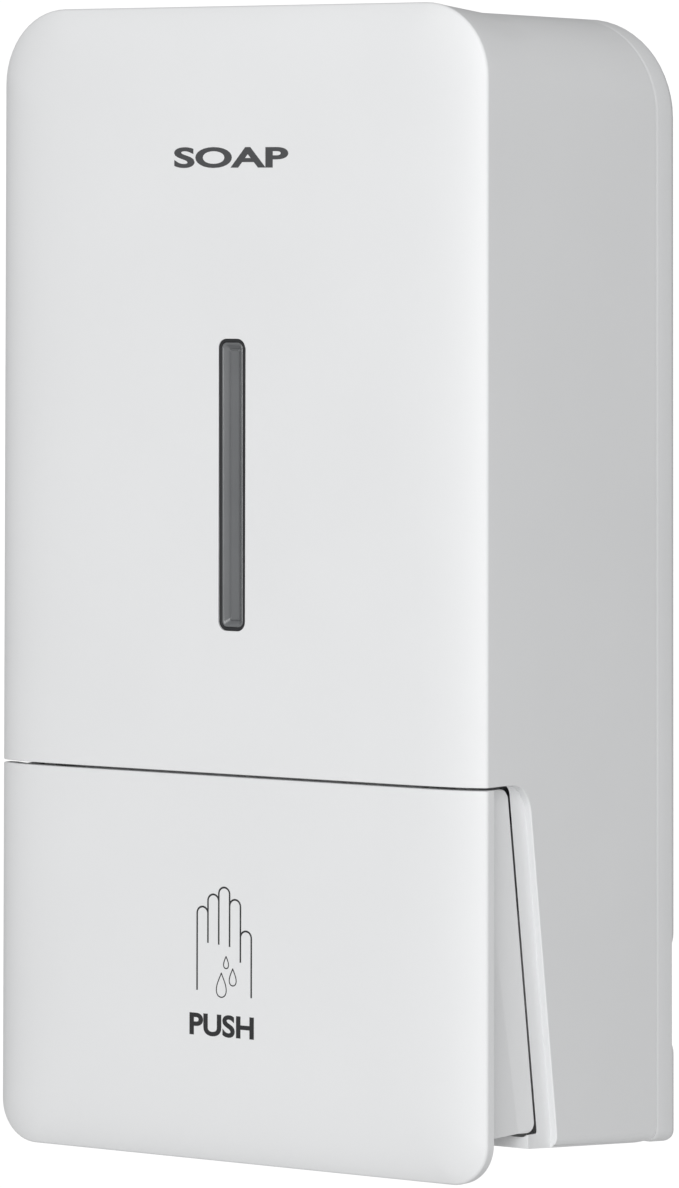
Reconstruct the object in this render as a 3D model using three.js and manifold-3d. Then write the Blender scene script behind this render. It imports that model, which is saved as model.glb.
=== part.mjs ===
// Wall mounted soap dispenser with a front push panel, a window for the soap level and a refillable tank.
// Millimetres, +Z up. The wall is the plane Y = 0, the user stands at -Y, and the origin is the middle of
// the wall face. It builds as one scene graph: the wall plate with everything fixed to it, and groups for the
// pieces that move (cover, push lever, pump piston, lock and tank lid), all in their rest positions.
import * as THREE from "three";
import { mergeVertices } from "three/addons/utils/BufferGeometryUtils.js";
import Module from "manifold-3d";

const { Manifold, Mesh: ManifoldMesh } = await startManifold();

// ---------------------------------------------------------------- driving dimensions

// Case
const HEIGHT = 240; // lower edge of the push panel to the top of the front
const WIDTH = 123.4; // at mid height
const DEPTH = 72.6; // wall to the sharp rim of the front, at mid height
const DRAFT = 0.0083; // share by which the case is wider and deeper at its foot than at mid height
const WALL = 2.3; // moulded wall
const SKIN = 2.4; // front wall
const GAP = 0.4; // between two mouldings that meet
const PILLOW = 3; // how far the middle of the front stands out from its rim
const PILLOW_REACH = 5; // distance from the rim over which the front rises to two thirds of that
const FRONT_TOP_RADIUS = 16.4;
const FRONT_FOOT_RADIUS = 9.5;
const RIM_STAND = 2; // how far the front's top edge stands above the case behind it
const CASE_REAR_FOOT = -118.4; // underside of the case at the wall
const CASE_FOOT_SLOPE = 0.084; // rise of that underside per mm towards the front
const CASE_TOP_RADIUS = { front: 15, rear: 24 };
const CASE_FOOT_RADIUS = 4;
const PLATE_DEPTH = 9; // depth of the wall plate's rim
const PLATE_BASE = 2.5; // thickness of the wall plate's back
const REAR_ROUND = 3.3;
const NOTCH = { low: -98, high: -76.4, slope: 3, depth: 1.3 }; // relief in the wall plate's rear edge

// Push lever
const SEAM = -38.9; // middle of the gap between the cover and the push panel
const PIVOT = { y: -63.5, z: -44 }; // lever axle
const AXLE_RADIUS = 2;
const SKIRT = { outer: 59.1, inner: 57.1, foot: -111 }; // side skirts of the push panel
const OPENING = { topY: -61.6, footY: -51.4, foot: -111.4, sillY: -54.6 }; // opening for them in the cover
const OPENING_CHAMFER = 2.4;

// Pump, on one vertical axis
const PUMP_Y = -38;
const SHELF = { low: -55, high: -52.5, front: -54, half: 28 };
const CYLINDER = { foot: -86, top: -68, radius: 11, bore: 8.5 };
const FLANGE = { low: -96.5, high: -94, radius: 14.2 };
const NOZZLE_TIP = -118;
const NUT_FOOT = -71;

// Tank
const TANK = { half: 52, rear: -7.5, front: -57.5, top: 86, waist: -34, foot: -52, radius: 8, wall: 2 };
const MOUTH = { half: 19, front: -50, rear: -32.5, rise: 2 }; // filling mouth in the tank's top
const LID_PIN = { y: -28.6, z: 88.6 };

// Window
const WINDOW = { half: 3.4, low: -11.7, high: 47, radius: 2 };

// Lock, on one vertical axis
const LOCK_Y = -17;
const KEEPER = { inner: 9, outer: 11.2, front: -24.5, back: -21.5, low: 96, sill: 100, high: 106 };

// Cover hinge
const HINGE = { y: -11.8, z: -114.8, pin: 1.2, knuckle: 2.45 };
const LUG = { inner: 50, outer: 54 };

const HALF_WIDTH = WIDTH / 2;
const HALF_HEIGHT = HEIGHT / 2;
const FRONT_BACK = -(DEPTH - SKIN); // back of the front's rim
const COVER_REAR = -(PLATE_DEPTH + GAP);
const CORNER_STEPS = 5;
const ROUND_STEPS = 20;
const SPAN = 300; // longer than the object, for cutting tools

// ---------------------------------------------------------------- finishes

const finish = (color, roughness, metalness = 0) => () =>
  new THREE.MeshStandardMaterial({ color, roughness, metalness });
const whiteShell = finish(0xe9eaea, 0.42);
const greyShell = finish(0xd8dadb, 0.5);
const clearTank = finish(0xdfe6e8, 0.3);
const smokyLens = finish(0x6b6d6f, 0.15);
const darkRubber = finish(0x2b2c2e, 0.8);
const whiteAcetal = finish(0xf1f0ea, 0.4);
const steel = finish(0xb9bcc0, 0.28, 1);
const zincLock = finish(0xc4c6c8, 0.35, 1);

// ---------------------------------------------------------------- solids

async function startManifold() {
  const library = await Module();
  library.setup();
  return library;
}

// A closed geometry as a solid, turned the right way out.
function solid(geometry) {
  const bare = new THREE.BufferGeometry();
  bare.setAttribute("position", geometry.getAttribute("position").clone());
  if (geometry.index) bare.setIndex(geometry.index.clone());
  const merged = mergeVertices(bare, 1e-4);
  const triVerts = dropSlivers(merged.index.array);
  const vertProperties = merged.getAttribute("position").array;
  const made = new Manifold(new ManifoldMesh({ numProp: 3, vertProperties, triVerts }));
  if (made.volume() > 0) return made;
  return new Manifold(new ManifoldMesh({ numProp: 3, vertProperties, triVerts: triVerts.reverse() }));
}

// Triangles that merging has folded to a line, such as those at the axis of a turned piece, are left out.
function dropSlivers(index) {
  const kept = [];
  for (let i = 0; i < index.length; i += 3) {
    const [a, b, c] = index.slice(i, i + 3);
    if (a !== b && b !== c && c !== a) kept.push(a, b, c);
  }
  return new Uint32Array(kept);
}

function geometryOf(body) {
  const mesh = body.getMesh();
  const geometry = new THREE.BufferGeometry();
  geometry.setAttribute("position", new THREE.BufferAttribute(mesh.vertProperties, 3));
  geometry.setIndex(new THREE.BufferAttribute(mesh.triVerts, 1));
  geometry.computeVertexNormals();
  return geometry;
}

const join = (first, ...others) => others.reduce((whole, other) => whole.add(other), first);
const cut = (first, ...others) => others.reduce((whole, other) => whole.subtract(other), first);
const range = (count) => Array.from({ length: count }, (_, i) => i);
const SIDES = [
  ["left", -1],
  ["right", 1],
];

function block([x0, x1], [y0, y1], [z0, z1]) {
  const geometry = new THREE.BoxGeometry(Math.abs(x1 - x0), Math.abs(y1 - y0), Math.abs(z1 - z0));
  return solid(geometry.translate((x0 + x1) / 2, (y0 + y1) / 2, (z0 + z1) / 2));
}

// A round bar along X through the point (y, z).
function barX(radius, [x0, x1], y, z, steps = ROUND_STEPS) {
  const geometry = new THREE.CylinderGeometry(radius, radius, Math.abs(x1 - x0), steps);
  return solid(geometry.rotateZ(Math.PI / 2).translate((x0 + x1) / 2, y, z));
}

// A round bar along Y through the point (x, z).
function barY(radius, [y0, y1], x, z, steps = ROUND_STEPS) {
  const geometry = new THREE.CylinderGeometry(radius, radius, Math.abs(y1 - y0), steps);
  return solid(geometry.translate(x, (y0 + y1) / 2, z));
}

// A round bar along Z through the point (x, y).
function barZ(radius, [z0, z1], x, y, steps = ROUND_STEPS) {
  const geometry = new THREE.CylinderGeometry(radius, radius, Math.abs(z1 - z0), steps);
  return solid(geometry.rotateX(Math.PI / 2).translate(x, y, (z0 + z1) / 2));
}

// A flat outline given as (y, z) points, carried along X.
function prismX(points, [x0, x1]) {
  const shape = new THREE.Shape(points.map(([y, z]) => new THREE.Vector2(y, z)));
  const geometry = new THREE.ExtrudeGeometry(shape, { depth: Math.abs(x1 - x0), bevelEnabled: false });
  const axes = new THREE.Matrix4().makeBasis(
    new THREE.Vector3(0, 1, 0),
    new THREE.Vector3(0, 0, 1),
    new THREE.Vector3(1, 0, 0),
  );
  return solid(geometry.applyMatrix4(axes).translate(Math.min(x0, x1), 0, 0));
}

// A piece turned about the vertical line through (x, y); its profile is a list of (radius, height) points,
// from axis to axis for a solid piece, or closed on itself for a ring.
function turned(profile, x, y, steps = ROUND_STEPS) {
  const points = profile.map(([radius, height]) => new THREE.Vector2(radius, height));
  return solid(new THREE.LatheGeometry(points, steps).rotateX(Math.PI / 2).translate(x, y, 0));
}

const ring = (profile, x, y, steps) => turned([...profile, profile[0]], x, y, steps);

// A solid skinned over closed outlines with the same number of points each.
function loft(outlines) {
  const count = outlines[0].length;
  const index = [];
  outlines.slice(1).forEach((_, level) =>
    range(count).forEach((i) => {
      const a = level * count + i;
      const b = level * count + ((i + 1) % count);
      index.push(a, a + count, b + count, a, b + count, b);
    }),
  );
  const last = (outlines.length - 1) * count;
  range(count - 2).forEach((i) => {
    index.push(0, i + 1, i + 2);
    index.push(last, last + i + 2, last + i + 1);
  });
  const geometry = new THREE.BufferGeometry().setFromPoints(outlines.flat());
  geometry.setIndex(index);
  return solid(geometry);
}

// Corner points of a rounded rectangle, counter-clockwise, as (across, up) pairs.
function roundedRectangle([left, right], [low, high], lowRadius, highRadius) {
  const corners = [
    [right - lowRadius, low + lowRadius, lowRadius],
    [right - highRadius, high - highRadius, highRadius],
    [left + highRadius, high - highRadius, highRadius],
    [left + lowRadius, low + lowRadius, lowRadius],
  ];
  return corners.flatMap(([across, up, radius], quarter) =>
    range(CORNER_STEPS + 1).map((step) => {
      const angle = (Math.PI / 2) * (quarter - 1 + step / CORNER_STEPS);
      return [across + radius * Math.cos(angle), up + radius * Math.sin(angle)];
    }),
  );
}

// The mould draft: the case grows a little wider and deeper towards its foot.
function drafted(x, y, z) {
  const growth = 1 - (DRAFT * z) / HALF_HEIGHT;
  return new THREE.Vector3(x * growth, y * growth, z);
}

// ---------------------------------------------------------------- outlines of the case

// The case at depth y behind the front, drawn in by inset.
function caseOutline(y, inset = 0) {
  const towardsFront = Math.min(1, Math.max(0, -y / DEPTH));
  const topRadius = THREE.MathUtils.lerp(CASE_TOP_RADIUS.rear, CASE_TOP_RADIUS.front, towardsFront);
  const half = HALF_WIDTH - inset;
  const foot = CASE_REAR_FOOT - CASE_FOOT_SLOPE * y + inset;
  const points = roundedRectangle(
    [-half, half],
    [foot, HALF_HEIGHT - RIM_STAND - inset],
    Math.max(CASE_FOOT_RADIUS - inset, 1),
    topRadius - inset,
  );
  return points.map(([x, z]) => drafted(x, y, z));
}

// The front's outline, drawn in by inset.
function frontOutline(y, inset = 0) {
  const half = HALF_WIDTH - inset;
  const points = roundedRectangle(
    [-half, half],
    [-HALF_HEIGHT + inset, HALF_HEIGHT - inset],
    Math.max(FRONT_FOOT_RADIUS - inset, 1),
    Math.max(FRONT_TOP_RADIUS - inset, 1),
  );
  return points.map(([x, z]) => drafted(x, y, z));
}

// The pillowed front as a stack of outlines: a flat band of the given depth, then the rise to the middle.
function pillow(faceY, backY, inset) {
  const rise = (distance) => PILLOW * (1 - Math.exp(-distance / PILLOW_REACH));
  const steps = [0, 1.6, 4, 8, 14, 23];
  return loft([
    ...steps.toReversed().map((distance) => frontOutline(faceY - rise(distance), inset + distance)),
    frontOutline(backY, inset),
  ]);
}

const above = (z) => block([-SPAN, SPAN], [-SPAN, SPAN], [z, SPAN]);
const below = (z) => block([-SPAN, SPAN], [-SPAN, SPAN], [-SPAN, z]);

// The dished front wall, over the whole height.
function frontSkin() {
  return cut(pillow(-DEPTH, FRONT_BACK, 0), pillow(FRONT_BACK, 0, SKIN));
}

// ---------------------------------------------------------------- wall plate

function wallPlate() {
  const roundSteps = [0, 1, 2, 3].map((i) => (Math.PI / 6) * i);
  const outer = loft([
    caseOutline(-PLATE_DEPTH),
    ...roundSteps.map((a) =>
      caseOutline(-REAR_ROUND * (1 - Math.sin(a)), REAR_ROUND * (1 - Math.cos(a))),
    ),
  ]);
  const hollow = loft([caseOutline(-PLATE_DEPTH - 1, WALL), caseOutline(-PLATE_BASE, WALL)]);
  const tray = cut(outer, hollow);
  return cut(join(tray, shelf(), ...tankGuides(), ...hingeLugs()), ...plateCuts());
}

// The shelf that carries the tank and the pump, on two gussets.
function shelf() {
  const { low, high, front, half } = SHELF;
  const table = block([-half, half], [front, -1], [low, high]);
  const gussets = SIDES.map(([, side]) =>
    prismX(
      [
        [-1, low + 1],
        [-1, low - 20],
        [-PLATE_BASE - 1, low - 20],
        [front + 12, low + 1],
      ],
      [side * (half - 3), side * half],
    ),
  );
  return cut(join(table, ...gussets), barZ(10.6, [low - 1, high + 1], 0, PUMP_Y, 24));
}

function tankGuides() {
  return SIDES.map(([, side]) => block([side * 53, side * 55], [-19, -1], [-10, 62]));
}

// Two lugs that hold the cover's hinge pins.
function hingeLugs() {
  return SIDES.map(([, side]) => {
    const span = [side * LUG.inner, side * LUG.outer];
    const lug = join(
      block(span, [HINGE.y, -1], [HINGE.z - HINGE.knuckle, HINGE.z + 6]),
      barX(HINGE.knuckle, span, HINGE.y, HINGE.z),
    );
    return cut(lug, barX(HINGE.pin + 0.15, [span[0] - side, span[1] + side], HINGE.y, HINGE.z));
  });
}

// Four wall screw slots and the relief in the rear edge on each side.
function plateCuts() {
  const slots = SIDES.flatMap(([, side]) => [
    screwSlot(side * 36, 72),
    screwSlot(side * 36, -84),
  ]);
  const { low, high, slope, depth } = NOTCH;
  const notch = SIDES.map(([, side]) =>
    prismX(
      [
        [1, low - slope],
        [0, low - slope],
        [-depth, low],
        [-depth, high],
        [0, high + slope],
        [1, high + slope],
      ],
      [side * (HALF_WIDTH - 8), side * (HALF_WIDTH + 3)],
    ),
  );
  return [...slots, ...notch];
}

function screwSlot(x, z) {
  const radius = 1.95;
  const reach = [-PLATE_BASE - 1, 1];
  return join(
    block([x - radius, x + radius], reach, [z - 4, z + 4]),
    barY(radius, reach, x, z - 4, 12),
    barY(radius, reach, x, z + 4, 12),
  );
}

// ---------------------------------------------------------------- cover

function frontCover() {
  const shell = join(
    frontSkin().intersect(above(SEAM + GAP)),
    cut(
      loft([-(DEPTH - 0.8), -50, -30, COVER_REAR].map((y) => caseOutline(y))),
      loft([-(DEPTH + 8), -50, -30, 1].map((y) => caseOutline(y, WALL))),
    ),
  );
  const solids = join(cut(shell, ...coverOpenings()), ...coverFittings());
  return cut(solids, ...coverHoles());
}

// The opening that the push panel's skirts move in, with its chamfered edge, and the gap for hand and nozzle.
function coverOpenings() {
  const top = SEAM + GAP;
  const { topY, footY, foot, sillY } = OPENING;
  const outline = [
    [-SPAN, top],
    [topY - 2, top],
    [topY, top - 2],
    [footY, foot],
    [sillY, foot],
    [sillY, -SPAN],
    [-SPAN, -SPAN],
  ];
  const chamfers = SIDES.map(([, side]) => {
    const edge = (x, shift) =>
      [
        [-SPAN, top],
        [topY + shift - 1, top],
        [footY + shift, foot],
        [-SPAN, foot],
      ].map(([y, z]) => new THREE.Vector3(side * x, y, z));
    return loft([edge(HALF_WIDTH - WALL, -0.4), edge(HALF_WIDTH + 1.5, OPENING_CHAMFER + 1)]);
  });
  const handGap = block([-24, 24], [sillY - 1, -24], [-SPAN, -105]);
  return [prismX(outline, [-SPAN, SPAN]), ...chamfers, handGap];
}

// Ears for the lever axle, the ledge behind the seam, the hinge bosses and the lock's seat.
function coverFittings() {
  const ears = SIDES.map(([, side]) =>
    join(
      block([side * 51, side * 54.5], [-68.5, -58.5], [PIVOT.z, -30]),
      block([side * 51, side * 54.5], [-74, -58.5], [-36, -30]),
      barX(5, [side * 51, side * 54.5], PIVOT.y, PIVOT.z),
    ),
  );
  const ledge = join(
    block([-44, 44], [-69.4, -67.4], [-42.5, -30]),
    block([-44, 44], [-74, -67.4], [-33, -30]),
  );
  const bosses = SIDES.map(([, side]) => {
    const span = [side * (LUG.outer + GAP), side * (HALF_WIDTH - 1)];
    return join(
      barX(HINGE.knuckle, span, HINGE.y, HINGE.z),
      block(span, [HINGE.y - 7, HINGE.y + HINGE.knuckle], [HINGE.z, HINGE.z + 6]),
      block(span, [HINGE.y - 7, HINGE.y], [HINGE.z - 1.5, HINGE.z + 1]),
    );
  });
  return [...ears, ledge, ...bosses];
}

function coverHoles() {
  const axle = barX(AXLE_RADIUS + 0.25, [-56, 56], PIVOT.y, PIVOT.z);
  const pins = SIDES.map(([, side]) =>
    barX(HINGE.pin + 0.3, [side * LUG.inner, side * 59.6], HINGE.y, HINGE.z),
  );
  const lugRoom = SIDES.map(([, side]) =>
    block([side * (LUG.inner - GAP), side * (LUG.outer + GAP)], [-16.8, 1], [-SPAN, HINGE.z + 7]),
  );
  return [axle, ...pins, ...lugRoom, rearFootRound(), windowCut(WINDOW, -SPAN, -60), lockHole()];
}

// The cover's lower rear edge is rounded about the hinge, so that it turns clear of the wall plate.
function rearFootRound() {
  const corner = block([-SPAN, SPAN], [HINGE.y, 0], [-SPAN, HINGE.z]);
  return cut(corner, barX(HINGE.knuckle, [-SPAN, SPAN], HINGE.y, HINGE.z));
}

// A rounded slot through the front, from depth y0 to y1, drawn in by inset.
function windowCut({ half, low, high, radius }, y0, y1, inset = 0) {
  const corner = Math.max(radius - inset, 0.6);
  const points = roundedRectangle([inset - half, half - inset], [low + inset, high - inset], corner, corner);
  return loft([y0, y1].map((y) => points.map(([x, z]) => new THREE.Vector3(x, y, z))));
}

const lockHole = () => barZ(5.8, [110, SPAN], 0, LOCK_Y);

// ---------------------------------------------------------------- window

const LENS_FACE = -75.1;
const LENS_SEAT = -72.8; // just behind the inside of the cover's front

const windowGasket = () =>
  cut(windowCut(WINDOW, LENS_FACE - 0.1, LENS_SEAT - 0.4, 0.15), windowCut(WINDOW, -SPAN, -60, 0.75));

function windowLens() {
  return join(
    windowCut(WINDOW, LENS_FACE, LENS_SEAT + 0.1, 0.95),
    windowCut(WINDOW, LENS_SEAT, LENS_SEAT + 1.4, -2),
  );
}

function windowRetainer() {
  const plate = windowCut(WINDOW, LENS_SEAT + 1.7, LENS_SEAT + 3.4, -4.5);
  return cut(plate, windowCut(WINDOW, -SPAN, -60, 0));
}

// ---------------------------------------------------------------- push lever

function pushPanel() {
  const face = frontSkin().intersect(below(SEAM - GAP));
  const { topY, footY } = OPENING;
  const top = SEAM - GAP - 0.4;
  const skirt = [
    [-71.6, top],
    [topY - 2.9, top],
    [topY - 0.9, top - 2],
    [footY - 0.9, SKIRT.foot + 2],
    [footY - 2.6, SKIRT.foot],
    [-71.6, SKIRT.foot],
  ];
  const skirts = SIDES.map(([, side]) => prismX(skirt, [side * SKIRT.inner, side * SKIRT.outer]));
  const ears = SIDES.map(([, side]) => {
    const span = [side * 46, side * 49.8];
    return join(
      barX(5.4, span, PIVOT.y, PIVOT.z),
      block(span, [-74, PIVOT.y], [PIVOT.z - 5.4, PIVOT.z + 4]),
    );
  });
  const bosses = SIDES.map(([, side]) => barY(4, [-74.6, FORK.base + 2.8], side * FORK.screwX, FORK.screwZ));
  const axleHole = barX(BUSH.outer + 0.3, [-60, 60], PIVOT.y, PIVOT.z);
  const screwHoles = SIDES.map(([, side]) =>
    barY(1.6, [-73.4, FORK.base + 4], side * FORK.screwX, FORK.screwZ, 12),
  );
  return cut(join(face, ...skirts, ...ears, ...bosses), axleHole, ...screwHoles);
}

const BUSH = { inner: AXLE_RADIUS + 0.3, outer: 3.4 };
const FORK = { base: -71.8, screwX: 15, screwZ: -97, armTop: -97, armFoot: -101.5, tip: -34.5 };

// The fork that lifts the pump's flange: a screwed base and two arms either side of the pump's stem.
function leverFork() {
  const { base, screwX, screwZ, armTop, armFoot, tip } = FORK;
  const baseBack = base + 5.8;
  const plate = block([-21, 21], [base + 3.2, baseBack], [-105, -89]);
  const arms = SIDES.map(([, side]) => {
    const span = [side * 6, side * 11];
    const radius = (armTop - armFoot) / 2;
    return join(
      block(span, [baseBack - 1, tip], [armFoot, armTop]),
      barX(radius, span, tip, armFoot + radius),
      prismX(
        [
          [baseBack - 1, -91],
          [baseBack - 1, armFoot + 1],
          [baseBack + 12, armFoot + 1],
        ],
        [side * 7.5, side * 9.5],
      ),
    );
  });
  const holes = SIDES.map(([, side]) => barY(1.75, [base, baseBack + 1], side * screwX, screwZ, 12));
  return cut(join(plate, ...arms), ...holes);
}

// A pan-head screw pointing to -Y, with its head's underside at the origin.
function screw(headRadius, shankRadius, length) {
  const head = barY(headRadius, [0, 1.8], 0, 0, 16);
  const slot = block([-headRadius, headRadius], [1.2, 3], [-0.4, 0.4]);
  return cut(join(head, barY(shankRadius, [-length, 0.5], 0, 0, 12)), slot);
}

// ---------------------------------------------------------------- pump

function pumpCylinder() {
  const { foot, top, radius, bore } = CYLINDER;
  return ring(
    [
      [radius, foot],
      [radius, top],
      [12.5, top],
      [12.5, top + 2.7],
      [3, top + 2.7],
      [3, top + 0.2],
      [bore, top + 0.2],
      [bore, foot],
    ],
    0,
    PUMP_Y,
    24,
  );
}

function collarNut() {
  const grip = 16;
  return ring(
    [
      [grip - 1, NUT_FOOT],
      [grip, NUT_FOOT + 1],
      [grip, -58],
      [grip - 1, -57],
      [10.4, -57],
      [10.4, -64.9],
      [12.9, -64.9],
      [12.9, CYLINDER.top - 0.4],
      [radiusOver(CYLINDER.radius), CYLINDER.top - 0.4],
      [radiusOver(CYLINDER.radius), NUT_FOOT],
    ],
    0,
    PUMP_Y,
    24,
  );
}

const radiusOver = (radius) => radius + GAP;

const portGasket = () =>
  ring(
    [
      [7.3, -65],
      [9.9, -65],
      [9.9, -64.4],
      [7.3, -64.4],
    ],
    0,
    PUMP_Y,
    24,
  );

// Umbrella valve: its stem sits in the cylinder's port and its skirt closes against the inside.
const inletValve = () =>
  turned(
    [
      [0, CYLINDER.top - 1.2],
      [4.6, CYLINDER.top - 0.6],
      [4.6, CYLINDER.top - 0.2],
      [1.4, CYLINDER.top - 0.2],
      [1.4, CYLINDER.top + 4.4],
      [0, CYLINDER.top + 4.8],
    ],
    0,
    PUMP_Y,
    16,
  );

function pumpPiston() {
  const bore = 1.8;
  return ring(
    [
      [bore, -77.6],
      [bore, -105],
      [3.3, -105],
      [3.3, -108],
      [4.6, -108],
      [4.6, FLANGE.low - 2],
      [5.4, FLANGE.low],
      [FLANGE.radius, FLANGE.low],
      [FLANGE.radius, FLANGE.high],
      [4.6, FLANGE.high],
      [4.6, -82],
      [7.9, -82],
      [7.9, -81],
      [6, -81],
      [6, -79],
      [7.9, -79],
      [7.9, -77.6],
    ],
    0,
    PUMP_Y,
    24,
  );
}

const pistonSeal = () =>
  ring(
    [
      [6.3, -80.7],
      [8.2, -80.7],
      [8.2, -79.3],
      [6.3, -79.3],
    ],
    0,
    PUMP_Y,
    24,
  );

const outletValve = () =>
  ring(
    [
      [0.5, -107.6],
      [3, -107.6],
      [3, -105.4],
      [0.5, -105.4],
    ],
    0,
    PUMP_Y,
    12,
  );

const nozzleTip = () =>
  ring(
    [
      [1.5, NOZZLE_TIP],
      [3.2, NOZZLE_TIP],
      [4.6, NOZZLE_TIP + 6],
      [4.6, -108.4],
      [1.5, -108.4],
    ],
    0,
    PUMP_Y,
  );

class Helix extends THREE.Curve {
  constructor(radius, height, turns) {
    super();
    Object.assign(this, { radius, height, turns });
  }

  getPoint(t, target = new THREE.Vector3()) {
    const angle = 2 * Math.PI * this.turns * t;
    return target.set(this.radius * Math.cos(angle), this.radius * Math.sin(angle), this.height * t);
  }
}

function pumpSpring() {
  const wire = 0.65;
  const turns = 5;
  const low = FLANGE.high + wire + 0.35;
  const high = NUT_FOOT - wire - 0.35;
  const section = new THREE.Shape(
    range(6).map((i) => new THREE.Vector2(wire * Math.cos((Math.PI * i) / 3), wire * Math.sin((Math.PI * i) / 3))),
  );
  const geometry = new THREE.ExtrudeGeometry(section, {
    steps: 12 * turns,
    bevelEnabled: false,
    extrudePath: new Helix(12.7, high - low, turns),
  });
  return solid(geometry.translate(0, PUMP_Y, low));
}

// ---------------------------------------------------------------- tank

// The tank's outline at one height, as a rounded rectangle drawn in by inset.
function tankOutline(z, { half, front, rear }, inset) {
  const radius = TANK.radius - inset / 2;
  const points = roundedRectangle([-half + inset, half - inset], [front + inset, rear - inset], radius, radius);
  return points.map(([x, y]) => new THREE.Vector3(x, y, z));
}

function tankBody(inset) {
  const hopperFoot = { half: 15, front: PUMP_Y - 15, rear: PUMP_Y + 15 };
  return loft([
    tankOutline(TANK.foot + inset, hopperFoot, inset),
    tankOutline(TANK.waist + inset / 2, TANK, inset),
    tankOutline(TANK.top - inset, TANK, inset),
  ]);
}

function reservoir() {
  const { half, front, rear, rise } = MOUTH;
  const collar = block([-half - 2, half + 2], [front - 2, rear + 1.6], [TANK.top - 1, TANK.top + rise]);
  const lugs = SIDES.map(([, side]) =>
    join(
      block([side * 19, side * 22], [LID_PIN.y - 2, LID_PIN.y + 2], [TANK.top - 1, LID_PIN.z]),
      barX(2, [side * 19, side * 22], LID_PIN.y, LID_PIN.z, 16),
    ),
  );
  const neck = barZ(10, [-64, TANK.foot + 1], 0, PUMP_Y, 24);
  return cut(
    join(tankBody(0), neck, collar, ...lugs),
    tankBody(TANK.wall),
    barZ(7, [-66, TANK.foot + 4], 0, PUMP_Y, 24),
    block([-half, half], [front, rear], [TANK.top - 5, SPAN]),
    barX(1.3, [-24, 24], LID_PIN.y, LID_PIN.z, 16),
  );
}

function reservoirLid() {
  const { half, front, rear, rise } = MOUTH;
  const low = TANK.top + rise + 0.4;
  const plate = block([-half - 2.6, half + 2.6], [front - 2.6, rear + 1], [low, low + 2]);
  const pull = block([-6, 6], [front - 4.4, front - 2], [low, low + 1.4]);
  const arm = block([-14, 14], [rear, LID_PIN.y], [low, low + 2]);
  const knuckle = barX(2, [-18.4, 18.4], LID_PIN.y, LID_PIN.z, 16);
  return cut(join(plate, pull, arm, knuckle), barX(1.3, [-24, 24], LID_PIN.y, LID_PIN.z, 16));
}

function lidSeal() {
  const { half, front, rear, rise } = MOUTH;
  const low = TANK.top + rise - 1;
  const high = low + 1.1;
  return cut(
    block([-half + 0.5, half - 0.5], [front + 0.5, rear - 0.5], [low, high]),
    block([-half + 2.5, half - 2.5], [front + 2.5, rear - 2.5], [low - 1, high + 1]),
  );
}

// ---------------------------------------------------------------- lock

const lockBarrel = () =>
  ring(
    [
      [4.2, 104.4],
      [5.5, 104.4],
      [5.5, 118.4],
      [7.5, 118.4],
      [7, 119.6],
      [4.2, 119.6],
    ],
    0,
    LOCK_Y,
    24,
  );

const lockNut = () => cut(barZ(8, [111.6, 115], 0, LOCK_Y, 6), barZ(5.8, [110, 117], 0, LOCK_Y));

function lockCore() {
  const plug = turned(
    [
      [0, 104],
      [3.9, 104],
      [3.9, 119.2],
      [0, 119.2],
    ],
    0,
    LOCK_Y,
  );
  return cut(plug, block([-2.6, 2.6], [LOCK_Y - 0.6, LOCK_Y + 0.6], [114, SPAN]), barZ(1.3, [100, 108], 0, LOCK_Y, 12));
}

// The hook on the wall plate that the lock's cam turns in behind.
function lockKeeper() {
  const { inner, outer, front, back, low, sill, high } = KEEPER;
  const plateFace = -(PLATE_BASE + 0.3);
  return join(
    block([inner - 3, outer + 3], [plateFace - 1.5, plateFace], [low - 5, high + 3]),
    block([inner, outer], [front, plateFace - 1], [low, sill]),
    block([inner, outer], [front, back], [low, high]),
  );
}

// The cam points to the wall when the lock is open, and turns to +X behind the keeper's hook.
function lockCam() {
  const arm = join(
    block([-3.5, 3.5], [LOCK_Y, LOCK_Y + 12.4], [101.6, 103.6]),
    barZ(5, [101.6, 103.6], 0, LOCK_Y),
  );
  return cut(arm, barZ(1.7, [100, 105], 0, LOCK_Y, 12));
}

const camScrew = () =>
  join(barZ(2.8, [99.8, 101.3], 0, LOCK_Y, 16), barZ(1, [101, 107], 0, LOCK_Y, 12));

// ---------------------------------------------------------------- assembly

function add(group, name, body, dress) {
  const mesh = new THREE.Mesh(geometryOf(body), dress());
  mesh.name = name;
  group.add(mesh);
  return mesh;
}

function bodyGroup(parent, name) {
  const group = new THREE.Group();
  group.name = name;
  parent.add(group);
  return group;
}

const dispenser = new THREE.Group();
dispenser.name = "soap_dispenser";

add(dispenser, "wall_plate", wallPlate(), greyShell);
add(dispenser, "lock_keeper", lockKeeper(), steel);
add(dispenser, "reservoir", reservoir(), clearTank);
add(dispenser, "lid_hinge_pin", barX(1, [-21.5, 21.5], LID_PIN.y, LID_PIN.z, 12), steel);
add(dispenser, "pump_cylinder", pumpCylinder(), whiteAcetal);
add(dispenser, "collar_nut", collarNut(), whiteAcetal);
add(dispenser, "port_gasket", portGasket(), darkRubber);
add(dispenser, "inlet_valve", inletValve(), darkRubber);
add(dispenser, "pump_spring", pumpSpring(), steel);
const hingePin = barX(HINGE.pin, [0, 9], 0, 0, 16);
SIDES.forEach(([side, sign]) => {
  const pin = add(dispenser, `cover_hinge_pin_${side}`, hingePin, steel);
  pin.position.set(sign > 0 ? LUG.inner + 0.3 : -LUG.inner - 9.3, HINGE.y, HINGE.z);
});

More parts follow.
